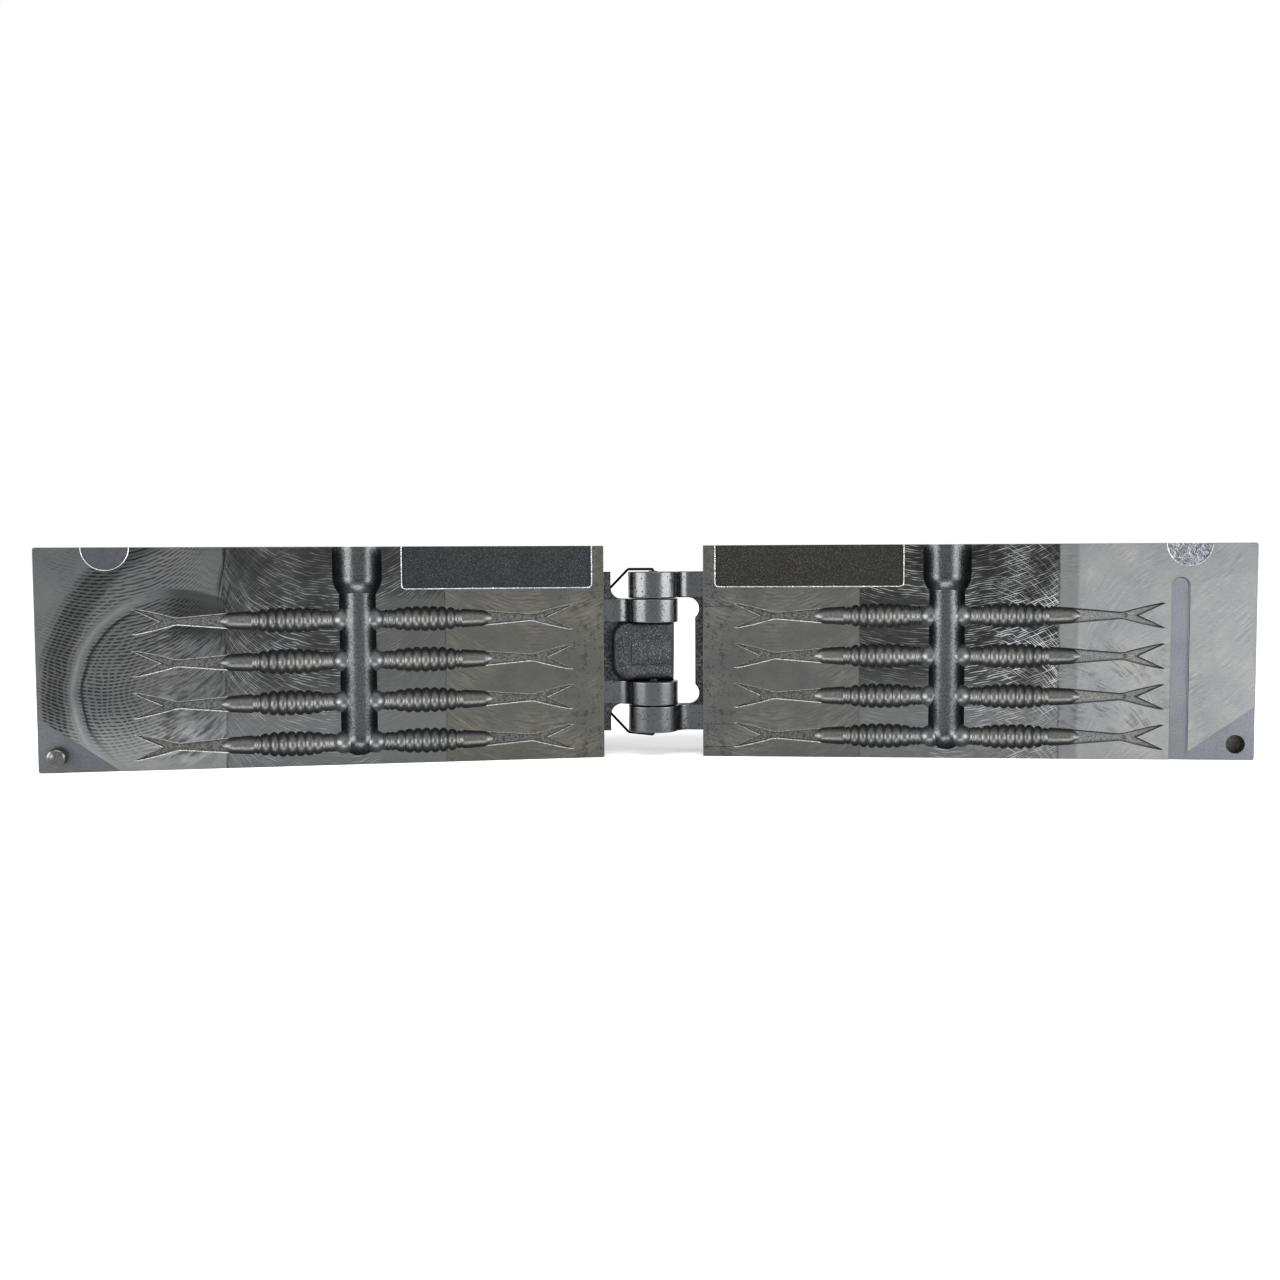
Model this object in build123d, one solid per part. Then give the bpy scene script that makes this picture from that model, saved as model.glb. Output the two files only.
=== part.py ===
"""Hinged two-part mould that casts eight ribbed, fork-tailed lures on one runner.

The mould stands on the bottom edges of its two halves, opened like a book towards -Y, with its sprue up.
Each half is drawn flat first: X runs outward from the hinge axis, Y goes from the parting plane into the
metal and Z is up from the base. The left half is the mirror image of the right one, apart from its hinge
knuckles, its pin and its cast marks.
"""

from build123d import *
import math
import os

# One half: a milled aluminium casting
half_length = 190.0
half_height = 75.0
half_thickness = 12.7
hinge_to_face = 17.7
face_relief = 0.02
back_edge_chamfer = 1.2
outer_corner_round = 0.8
opening_angle = 165.2

# Sprue and runner, both half round; the inset runs from the face's inner end
runner_inset = 85.2
runner_radius = 6.0
runner_end_height = 3.2
runner_end_round = 2.0
sprue_radius = 8.15
sprue_depth = 10.2
sprue_throat_length = 5.9

# Four rows of lures, one on each side of the runner
row_count = 4
lowest_row_height = 7.8
row_pitch = 14.1
gate_ball_radius = 4.35
gate_ball_offset = 5.5

# Lure body, round about its own axis; distances run from the runner's centre
lure_sides = 12
ball_steps = 3
neck_radius = 2.75
rib_first = 13.9
rib_pitch = 2.97
rib_count = 7
rib_crest_radius = 4.2
rib_end_shrink = 0.55
rib_groove_depth = 0.8
waist_radius = 2.55
small_rib_radius = 3.0
small_rib_length = 1.6
shoulder_length = 0.8
smooth_start_radius = 3.1
smooth_end_radius = 2.7
body_end = 46.0
body_end_length = 4.4
body_end_middle_radius = 2.3
body_end_radius = 0.75

# Lure tail: a flat wedge, a dimple and a fork
tail_depth = 0.9
wedge_start = 41.0
wedge_start_half_width = 2.6
wedge_end = 59.2
wedge_end_half_width = 1.05
fork_root = 60.6
fork_root_half_width = 1.2
fork_apex = 64.8
fork_tip = 73.9
fork_half_spread = 4.2
fork_tip_width = 0.8
fork_bow = 0.15
dimple_at = 61.0
dimple_radius = 0.9
dimple_depth = 1.3
dimple_sides = 10

# As-cast marks sunk in the milled face; the panel is inset from its inner end, the rest from its outer end
panel_inset = 4.4
panel_length = 65.7
panel_height = 14.5
panel_corner = 1.2
panel_depth = 0.7
disc_inset = 22.7
disc_radius = 7.6
disc_depth = 0.5
pad_length = 26.4
pad_height = 18.7
pad_depth = 0.4
slot_inset = 25.6
slot_width = 6.2
slot_below_top = 11.7
slot_depth = 0.6

# Hinge
pin_radius = 1.6
pin_clearance = 0.05
pin_end_stand = 0.3
knuckle_radius = 8.85
knuckle_span = 56.6
outer_knuckle_width = 9.25
knuckle_gap = 0.3
inner_knuckle_width = 8.35
flange_edge = 14.8
flange_front = 2.5
flange_back = 7.0
flange_back_chamfer = 1.2
arm_blend = 5.0
notch_radius = 4.0
relief_bulge = 1.4
boss_front = 2.9
boss_reach = 7.4
boss_outer = 14.4
boss_corner = 5.4
boss_edge_round = 1.7
boss_dish = 0.7
boss_pad_length = 14.8
boss_pad_height = 9.2
boss_pad_centre = 1.05
boss_pad_stand = 0.25

# Wire clip that keeps the hinge pin in place
wire_radius = 0.46
wire_sides = 10
wire_pin_hole_clearance = 0.06
wire_stub = 1.5
wire_pin_gap = 0.12
wire_seat_gap = 0.25
wire_straight = 9.2
wire_back_from_hinge = 16.0
wire_bend = 1.4

# Locating pin and its hole, inset from the face's outer end
locator_inset = 6.3
locator_height = 5.5
locator_radius = 3.175
locator_clearance = 0.1
locator_seat_depth = 8.0
locator_stand = 4.0
locator_chamfer = 1.1
locator_hole_depth = 5.2
locator_mouth_chamfer = 0.4
locator_groove_width = 0.5
locator_groove_depth = 0.25

# Worked out from the sizes above
cut_margin = 1.0
mid_height = half_height / 2
face_end = hinge_to_face + half_length
runner_centre = hinge_to_face + runner_inset
locator_centre = face_end - locator_inset
splay = (180.0 - opening_angle) / 2
pin_bore_radius = pin_radius + pin_clearance
outer_knuckle_inner_face = knuckle_span / 2 - outer_knuckle_width
inner_knuckle_outer_face = outer_knuckle_inner_face - knuckle_gap
inner_knuckle_inner_face = inner_knuckle_outer_face - inner_knuckle_width
row_heights = [lowest_row_height + row_pitch * row for row in range(row_count)]
face_plane = Plane(origin=(0, 0, 0), x_dir=(1, 0, 0), z_dir=(0, -1, 0))


def sunk(outline, depth):
    """Cutter that sinks an outline, drawn as X and height, this deep into the milled face."""
    start = face_plane.offset(cut_margin)
    return extrude(start * outline, amount=-(cut_margin + face_relief + depth))


def slab(outline, front, back):
    """Solid between two depths behind the parting plane, with an outline drawn as X and height."""
    return extrude(face_plane.offset(-front) * outline, amount=-(back - front))


def plate():
    """The plain block of one half, with its edges broken round the back."""
    block = Pos(hinge_to_face, face_relief, 0) * Box(
        half_length, half_thickness - face_relief, half_height, align=(Align.MIN, Align.MIN, Align.MIN)
    )
    back = block.faces().sort_by(Axis.Y)[-1]
    block = chamfer(back.edges().filter_by(Axis.Z) + back.edges().sort_by(Axis.Z)[-1:], back_edge_chamfer)
    corners = block.edges().filter_by(Axis.Y).sort_by(Axis.X)[-2:]
    return fillet(corners, outer_corner_round)


def feed():
    """Sprue, throat and runner, turned about their upright centre line."""
    throat_top = half_height - sprue_depth
    throat_end = throat_top - sprue_throat_length
    top = half_height + cut_margin
    narrow = runner_radius
    waist = (sprue_radius + narrow) / 2
    bottom = runner_end_height
    outline = Polyline((0, top), (sprue_radius, top), (sprue_radius, throat_top))
    outline += Spline(
        (sprue_radius, throat_top),
        (waist, (throat_top + throat_end) / 2),
        (narrow, throat_end),
        tangents=((0, -1), (0, -1)),
    )
    outline += Line((narrow, throat_end), (narrow, bottom + runner_end_round))
    outline += Polyline(
        (narrow, bottom + runner_end_round), (narrow - runner_end_round, bottom), (0, bottom), (0, top)
    )
    section = Plane.XZ * make_face(outline)
    return Pos(runner_centre, 0, 0) * revolve(section, Axis.Z)


def rib_crest(index):
    """Crest radius of a body rib: full in the middle, drawn in towards both ends."""
    middle = (rib_count - 1) / 2
    return rib_crest_radius - rib_end_shrink * abs((index - middle) / middle) ** 3


def lure_profile():
    """Distances from the runner's centre and radii of one lure: gate ball, ribs, smooth part, tapered end."""
    points = []
    neck_angle = math.acos(neck_radius / gate_ball_radius)
    for step in range(-ball_steps, ball_steps + 1):
        angle = neck_angle * step / ball_steps
        along = gate_ball_offset + gate_ball_radius * math.sin(angle)
        points.append((along, gate_ball_radius * math.cos(angle)))
    for index in range(rib_count):
        crest = rib_crest(index)
        at = rib_first + rib_pitch * index
        points += [(at - rib_pitch / 2, crest - rib_groove_depth), (at, crest)]
    small_rib_start = rib_first + rib_pitch * (rib_count - 1) + rib_pitch / 2
    small_rib_end = small_rib_start + small_rib_length
    points += [(small_rib_start, waist_radius)]
    points += [(small_rib_start + small_rib_length / 2, small_rib_radius)]
    points += [(small_rib_end, waist_radius), (small_rib_end + shoulder_length, smooth_start_radius)]
    points += [(body_end - body_end_length, smooth_end_radius)]
    points += [(body_end - body_end_length / 2, body_end_middle_radius), (body_end, body_end_radius)]
    return points


def lure_body():
    """Gate ball and lure body along +X, lofted through a many-sided section at each step of the profile."""
    sections = []
    for distance, radius in lure_profile():
        across = Plane(origin=(distance, 0, 0), x_dir=(0, 0, 1), z_dir=(1, 0, 0))
        sections.append(across * RegularPolygon(radius, lure_sides))
    return loft(sections, ruled=True)


def lure_tail():
    """Outline of the flat tail along +X: a wedge, then two prongs, bent at mid length, that end in points."""
    upper = [
        (wedge_start, wedge_start_half_width),
        (wedge_end, wedge_end_half_width),
        (fork_root, fork_root_half_width),
    ]
    bow = (
        (fork_root + fork_tip) / 2,
        (fork_root_half_width + fork_half_spread) / 2 + fork_bow,
    )
    prong = [bow, (fork_tip - fork_tip_width, fork_half_spread), (fork_tip, fork_half_spread)]
    half = make_face(Polyline(upper + prong + [(fork_apex, 0), (wedge_start, 0)], close=True))
    return half + mirror(half, Plane.XZ)


def cavities():
    """Every cutter for the poured plastic: feed, lures with their gate balls, tails and dimples."""
    body = lure_body()
    tail = lure_tail()
    dimple = RegularPolygon(dimple_radius, dimple_sides)
    cutters = [feed()]
    for height in row_heights:
        for side in (1, -1):
            turn = 0 if side > 0 else 180
            place = Pos(runner_centre, 0, height) * Rot(0, turn, 0)
            cutters.append(place * body)
            cutters.append(sunk(Pos(runner_centre + side * dimple_at, height) * dimple, dimple_depth))
            flat = Pos(runner_centre, height) * Rot(0, 0, turn) * tail
            cutters.append(sunk(flat, tail_depth))
    return cutters


def cast_marks():
    """The sunk as-cast areas that both halves share: a panel, a disc and a corner pad."""
    panel_middle = hinge_to_face + panel_inset + panel_length / 2
    panel = RectangleRounded(panel_length, 2 * panel_height, panel_corner)
    panel = Pos(panel_middle, half_height) * panel
    disc = Pos(face_end - disc_inset, half_height) * Circle(disc_radius)
    reach = cut_margin
    slope = pad_height / pad_length
    pad = make_face(
        Polyline(
            (face_end - pad_length - reach, -reach * slope),
            (face_end + reach, -reach * slope),
            (face_end + reach, pad_height + reach * slope),
            close=True,
        )
    )
    return [sunk(panel, panel_depth), sunk(disc, disc_depth), sunk(pad, pad_depth)]


def slot():
    """Shallow upright slot with a round top that runs out at the bottom edge of the right half."""
    radius = slot_width / 2
    centre = face_end - slot_inset
    straight = half_height - slot_below_top - radius
    outline = Pos(centre, straight) * Circle(radius)
    outline += Pos(centre, (straight - cut_margin) / 2) * Rectangle(slot_width, straight + cut_margin)
    return sunk(outline, slot_depth)


def knuckle(low, high):
    """One hinge knuckle with its arm, from one height to another above mid height."""
    arm_end = hinge_to_face + cut_margin
    arm = Pos(arm_end / 2, (flange_front + flange_back) / 2) * Rectangle(arm_end, flange_back - flange_front)
    section = Circle(knuckle_radius) + arm
    front_corner = section.vertices().filter_by(lambda vertex: abs(vertex.Y - flange_front) < 0.01)
    section = fillet(front_corner.sort_by(Axis.X)[0], arm_blend)
    return Pos(0, 0, mid_height + low) * extrude(section, high - low)


def flange_strip():
    """Outline of the strip that carries the knuckles along the inner end of a half."""
    width = hinge_to_face + cut_margin - flange_edge
    return Pos(flange_edge + width / 2, mid_height) * Rectangle(width, knuckle_span)


def left_hinge():
    """Two inner knuckles, the cored boss between them and the flange, as drawn before mirroring."""
    low, high = inner_knuckle_inner_face, inner_knuckle_outer_face
    outline = flange_strip()
    outline += Pos(flange_edge / 2 + arm_blend, mid_height) * Rectangle(flange_edge, 2 * high)
    at_edge = outline.vertices().filter_by(lambda vertex: abs(vertex.X - flange_edge) < 0.01)
    inside = at_edge.filter_by(lambda vertex: abs(vertex.Y - mid_height) < high + 0.01)
    outline = fillet(inside, notch_radius)
    web = slab(outline, flange_front, flange_back)
    web = chamfer(back_outer_edges(web), flange_back_chamfer)
    return web + boss_between_knuckles(low) + knuckle(low, high) + knuckle(-high, -low)


def back_outer_edges(web):
    """The upright edges of a flange strip that lie at its back, away from the plate."""
    upright = web.edges().filter_by(Axis.Z)
    at_back = upright.filter_by(lambda edge: abs(edge.center().Y - flange_back) < 0.01)
    return at_back.filter_by(lambda edge: abs(edge.center().X - flange_edge) < 0.01)


def boss_between_knuckles(half_width):
    """Rough boss between the inner knuckles, with round edges, a dished front and a raised blank pad.

    The round edges dip so low beside the knuckles that the pin's bore just breaks through there.
    """
    length = boss_outer + boss_reach
    middle = (boss_outer - boss_reach) / 2
    outline = Pos(middle, mid_height) * Rectangle(length, 2 * half_width)
    outer = outline.vertices().filter_by(lambda vertex: vertex.X > middle)
    outline = fillet(outer, boss_corner)
    boss = slab(outline, -boss_front, flange_back)
    front = boss.faces().sort_by(Axis.Y)[0]
    rounded = front.edges().filter_by(lambda edge: edge.center().X > -boss_reach + boss_edge_round)
    boss = fillet(rounded, boss_edge_round)
    dish_radius = (half_width**2 + boss_dish**2) / (2 * boss_dish)
    dish_axis = boss_dish - boss_front - dish_radius
    boss -= Pos(middle, dish_axis, mid_height) * Cylinder(dish_radius, 2 * length, rotation=(0, 90, 0))
    pad = Pos(boss_pad_centre, mid_height) * Rectangle(boss_pad_length, boss_pad_height)
    boss += slab(pad, boss_dish - boss_front - boss_pad_stand, 0)
    return boss & boss_envelope()


def boss_envelope():
    """Space that the boss may fill: a round nose about the hinge axis, carried on to the flange."""
    nose = Cylinder(boss_reach, half_height, align=(Align.CENTER, Align.CENTER, Align.MIN))
    tail = Pos(0, -boss_reach, 0) * Box(
        boss_outer, boss_reach + flange_back, half_height, align=(Align.MIN, Align.MIN, Align.MIN)
    )
    return nose + tail


def right_hinge():
    """Two outer knuckles on a flange with round reliefs that face the other half's knuckles."""
    low, high = outer_knuckle_inner_face, knuckle_span / 2
    outline = flange_strip()
    for side in (1, -1):
        arm = Rectangle(flange_edge, high - low, align=(Align.MIN, Align.CENTER))
        outline += Pos(notch_radius, mid_height + side * (low + high) / 2) * arm
    for side in (1, -1):
        centre = (flange_edge + relief_bulge - notch_radius, mid_height + side * (low - notch_radius))
        outline -= Pos(*centre) * Circle(notch_radius)
    web = slab(outline, flange_front, flange_back)
    return web + knuckle(low, high) + knuckle(-high, -low)


def pin_bore():
    """Bore through every knuckle for the hinge pin."""
    return Cylinder(pin_bore_radius, half_height, align=(Align.CENTER, Align.CENTER, Align.MIN))


def locator_seat():
    """Blind hole in the left half that holds the locating pin without play."""
    return dowel_hole(locator_radius, locator_seat_depth)


def locator_hole():
    """Blind hole in the right half that takes the locating pin, with a broken edge."""
    radius = locator_radius + locator_clearance
    wide = radius + locator_mouth_chamfer
    flare = Cone(radius, wide, locator_mouth_chamfer, align=(Align.CENTER, Align.CENTER, Align.MAX))
    mouth = face_plane * Pos(locator_centre, locator_height, -face_relief) * flare
    return dowel_hole(radius, locator_hole_depth) + mouth


def dowel_hole(radius, depth):
    """Round cutter at the locating pin's place, this deep behind the parting plane."""
    outline = Pos(locator_centre, locator_height) * Circle(radius)
    return sunk(outline, depth - face_relief)


def right_half():
    """The right casting, drawn flat."""
    body = plate() + right_hinge()
    return body - (cavities() + cast_marks() + [slot(), locator_hole(), pin_bore()])


def left_half():
    """The left casting, drawn flat and not yet mirrored."""
    body = plate() + left_hinge()
    return body - (cavities() + cast_marks() + [locator_seat(), pin_bore()])


def hinge_pin():
    """Straight pin with a small hole in each end for the clip."""
    length = knuckle_span + 2 * pin_end_stand
    pin = Pos(0, 0, mid_height) * Cylinder(pin_radius, length)
    hole_radius = wire_radius + wire_pin_hole_clearance
    hole_depth = wire_stub + wire_pin_hole_clearance
    for side in (1, -1):
        pin -= Pos(0, 0, mid_height + side * length / 2) * Cylinder(hole_radius, 2 * hole_depth)
    return pin


def pin_clip():
    """Wire bail in the plane that holds the hinge axis and its seat behind the left flange.

    Each of its four bends is cut to a chord, as long as a bend of the wire's radius takes up.
    """
    seat_depth = flange_back + wire_seat_gap + wire_radius
    back = math.hypot(wire_back_from_hinge, seat_depth)
    drop = math.degrees(math.atan2(seat_depth, wire_back_from_hinge))
    pin_end = knuckle_span / 2 + pin_end_stand
    top = pin_end + wire_pin_gap + wire_radius
    shoulder = top - (back - wire_straight)
    cut = wire_bend * math.tan(math.radians(22.5))
    slant = cut * math.sqrt(0.5)
    stub_end = pin_end - wire_stub
    upper = [(0, stub_end), (0, top), (wire_straight - cut, top), (wire_straight + slant, top - slant)]
    upper += [(back - slant, shoulder + slant), (back, shoulder - cut)]
    route = Plane.XZ * Polyline(upper + [(x, -y) for x, y in reversed(upper)])
    start = Plane(origin=route @ 0, z_dir=route % 0)
    wire = sweep(start * RegularPolygon(wire_radius, wire_sides), path=route, transition=Transition.RIGHT)
    return Pos(0, 0, mid_height) * Rot(0, 0, drop) * wire


def locating_pin():
    """Dowel with a chamfered nose and a fine groove at its foot."""
    length = locator_seat_depth + locator_stand
    dowel = Cylinder(locator_radius, length, align=(Align.CENTER, Align.CENTER, Align.MIN))
    dowel = chamfer(dowel.edges().sort_by(Axis.Z)[-1], locator_chamfer)
    foot = Pos(0, 0, locator_seat_depth + locator_groove_width)
    ring = Cylinder(locator_radius, locator_groove_width)
    ring -= Cylinder(locator_radius - locator_groove_depth, locator_groove_width)
    placed = face_plane * Pos(locator_centre, locator_height, -locator_seat_depth)
    return placed * (dowel - foot * ring)


def main():
    """Build every piece, open the mould to its standing angle and write one file per piece."""
    open_left = Rot(0, 0, splay)
    open_right = Rot(0, 0, -splay)
    flip = Plane.YZ
    pieces = {
        "left_mould_half": open_left * mirror(left_half(), flip),
        "right_mould_half": open_right * right_half(),
        "hinge_pin": open_left * hinge_pin(),
        "pin_clip": open_left * mirror(pin_clip(), flip),
        "locating_pin": open_left * mirror(locating_pin(), flip),
    }
    box = Compound(list(pieces.values())).bounding_box()
    centre = box.center()
    to_origin = Pos(-centre.X, -centre.Y, -box.min.Z)
    os.makedirs("parts", exist_ok=True)
    for name, piece in pieces.items():
        export_step(to_origin * piece, f"parts/{name}.step")
    print("hinge axis at", -centre.X, -centre.Y, "size", box.size)


main()
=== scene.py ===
"""Looks of the hinged lure mould: two milled castings, their two pins and the wire clip.

Each half is worked out flat, as in the CAD source: u runs outward from the hinge axis, d goes from the
parting plane into the metal and z is up, all in millimetres. A Stance then turns it to its standing angle.
"""

from __future__ import annotations

import logging
import math
from dataclasses import dataclass, field, replace
from enum import Enum
from typing import NamedTuple

import bpy
import numpy as np
from mathutils import Matrix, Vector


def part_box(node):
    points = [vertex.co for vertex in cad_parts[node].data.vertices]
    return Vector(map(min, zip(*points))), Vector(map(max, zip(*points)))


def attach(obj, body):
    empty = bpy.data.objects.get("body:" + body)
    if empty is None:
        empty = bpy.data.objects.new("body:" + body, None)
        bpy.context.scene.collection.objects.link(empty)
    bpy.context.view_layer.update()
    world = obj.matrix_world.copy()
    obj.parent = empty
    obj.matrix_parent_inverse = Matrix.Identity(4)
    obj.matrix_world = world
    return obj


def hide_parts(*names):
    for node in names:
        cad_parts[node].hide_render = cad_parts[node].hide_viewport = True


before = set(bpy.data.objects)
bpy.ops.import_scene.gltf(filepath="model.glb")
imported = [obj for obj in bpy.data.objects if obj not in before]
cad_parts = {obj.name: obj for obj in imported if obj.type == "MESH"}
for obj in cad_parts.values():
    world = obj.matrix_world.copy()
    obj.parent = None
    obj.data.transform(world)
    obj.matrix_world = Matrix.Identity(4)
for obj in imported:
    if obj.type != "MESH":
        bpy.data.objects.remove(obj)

LOG = logging.getLogger("lure_mould")
MM = 0.001
SPLAY = math.radians(7.4)
Socket = bpy.types.NodeSocket
Value = float | Socket
Pair = tuple[float, float]
Triple = tuple[float, float, float]
CORNER_POINTS = 7


class Side(Enum):
    """Which half of the mould, as the sign that X takes going outward."""

    LEFT = -1
    RIGHT = 1


@dataclass(frozen=True)
class Stance:
    """Where a half stands: its side, and the hinge axis's Y in millimetres."""

    side: Side
    hinge_y: float

    def to_row(self, points: np.ndarray) -> np.ndarray:
        """Turn flat (u, d, z) points by the splay about the hinge axis, mirror the left half and scale them.

        Args:
            points: array of shape (n, 3) in millimetres.

        Returns:
            Array of shape (n, 3) in metres in the row frame.
        """
        u, d, z = points.T
        along = u * math.cos(SPLAY) + d * math.sin(SPLAY)
        deep = self.hinge_y - u * math.sin(SPLAY) + d * math.cos(SPLAY)
        return np.stack([self.side.value * along, deep, z], axis=1) * MM


@dataclass
class Shell:
    """A closed surface: flat points, faces as lists of point numbers, and each face's finish number."""

    points: np.ndarray
    faces: list[list[int]]
    finishes: list[int] = field(default_factory=list)


def ringed(rings: np.ndarray) -> Shell:
    """Skin a grid of closed rings, point (i, j) being ring i's point j, and cap the first and last ring.

    Args:
        rings: array of shape (rings, points in a ring, 3).

    Returns:
        The closed shell.
    """
    count, around, _ = rings.shape
    row = np.arange(count - 1)[:, None] * around
    here = np.arange(around)[None, :]
    after = (here + 1) % around
    quads = np.stack([row + here, row + after, row + around + after, row + around + here], axis=-1)
    faces = quads.reshape(-1, 4).tolist()
    faces.append(np.arange(around)[::-1].tolist())
    faces.append(((count - 1) * around + np.arange(around)).tolist())
    return Shell(rings.reshape(-1, 3), faces)


def enclosed(points: np.ndarray, faces: list[list[int]]) -> float:
    """Signed volume: a sixth of the sum of each face fan's triple products, positive if faces look out."""
    total = 0.0
    sizes = np.array([len(face) for face in faces])
    for size in np.unique(sizes):
        block = np.array([face for face in faces if len(face) == size])
        first = points[block[:, 0]]
        for corner in range(1, size - 1):
            cross = np.cross(points[block[:, corner]], points[block[:, corner + 1]])
            total += float((first * cross).sum())
    return total / 6


def inset(outline: np.ndarray, amount: float) -> np.ndarray:
    """Move a closed outline inwards along each corner's mean normal, longer at sharp corners up to twice.

    Args:
        outline: array of shape (n, 2), counter-clockwise.
        amount: distance, negative to move outwards.

    Returns:
        The moved outline.
    """
    before = outline - np.roll(outline, 1, axis=0)
    after = np.roll(outline, -1, axis=0) - outline
    before /= np.linalg.norm(before, axis=1, keepdims=True)
    after /= np.linalg.norm(after, axis=1, keepdims=True)
    normal = np.stack([-(before + after)[:, 1], (before + after)[:, 0]], axis=1)
    normal /= np.maximum(np.linalg.norm(normal, axis=1, keepdims=True), 1e-6)
    left = np.stack([-after[:, 1], after[:, 0]], axis=1)
    stretch = 1 / np.clip((normal * left).sum(axis=1, keepdims=True), 0.5, 1.0)
    return outline + normal * stretch * amount


class Axis(Enum):
    """Which flat axis an outline is carried along."""

    DEPTH = "outline is (u, z)"
    HEIGHT = "outline is (u, d)"


def stacked(outline: np.ndarray, levels: list[Pair], axis: Axis) -> Shell:
    """Carry an outline along an axis: one ring for each level, moved inwards by that level's inset.

    Args:
        outline: counter-clockwise array of shape (n, 2).
        levels: (place along the axis, inset) from one end to the other.
        axis: the axis that the outline is carried along.

    Returns:
        The closed shell.
    """
    rings = []
    for place, amount in levels:
        ring = inset(outline, amount) if amount else outline
        level = np.full(len(ring), place)
        first, second = ring.T
        order = [first, level, second] if axis is Axis.DEPTH else [first, second, level]
        rings.append(np.stack(order, axis=1))
    return ringed(np.array(rings))


def arc(centre: Pair, radius: float, start: float, end: float, count: int) -> np.ndarray:
    """Points on a circle: centre plus radius times cosine and sine, between two angles in degrees."""
    angle = np.radians(np.linspace(start, end, count))
    return np.stack([centre[0] + radius * np.cos(angle), centre[1] + radius * np.sin(angle)], axis=1)


def round_rectangle(low: Pair, high: Pair, radii: tuple[float, ...]) -> np.ndarray:
    """Rectangle whose corners are quarter circles.

    Args:
        low: lower left corner.
        high: upper right corner.
        radii: corner radii from the lower left one, counter-clockwise.

    Returns:
        Counter-clockwise outline.
    """
    corners = [(low[0], low[1], 1, 1, 180), (high[0], low[1], -1, 1, 270)]
    corners += [(high[0], high[1], -1, -1, 0), (low[0], high[1], 1, -1, 90)]
    parts = []
    for (x, y, toward_x, toward_y, start), radius in zip(corners, radii):
        if radius <= 0:
            parts.append(np.array([[x, y]], float))
            continue
        centre = (x + toward_x * radius, y + toward_y * radius)
        parts.append(arc(centre, radius, start, start + 90, CORNER_POINTS))
    return np.concatenate(parts)


def turned(profile: np.ndarray, sides: int) -> np.ndarray:
    """Rings of a turned shape: at each (place, radius) a circle of that radius about the turning axis.

    Args:
        profile: array of shape (n, 2).
        sides: points in each ring.

    Returns:
        Array of shape (n, sides, 3) as (place, across, across).
    """
    angle = np.arange(sides) / sides * 2 * np.pi
    place = np.repeat(profile[:, :1], sides, axis=1)
    return np.stack([place, profile[:, 1:] * np.cos(angle), profile[:, 1:] * np.sin(angle)], axis=-1)


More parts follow.
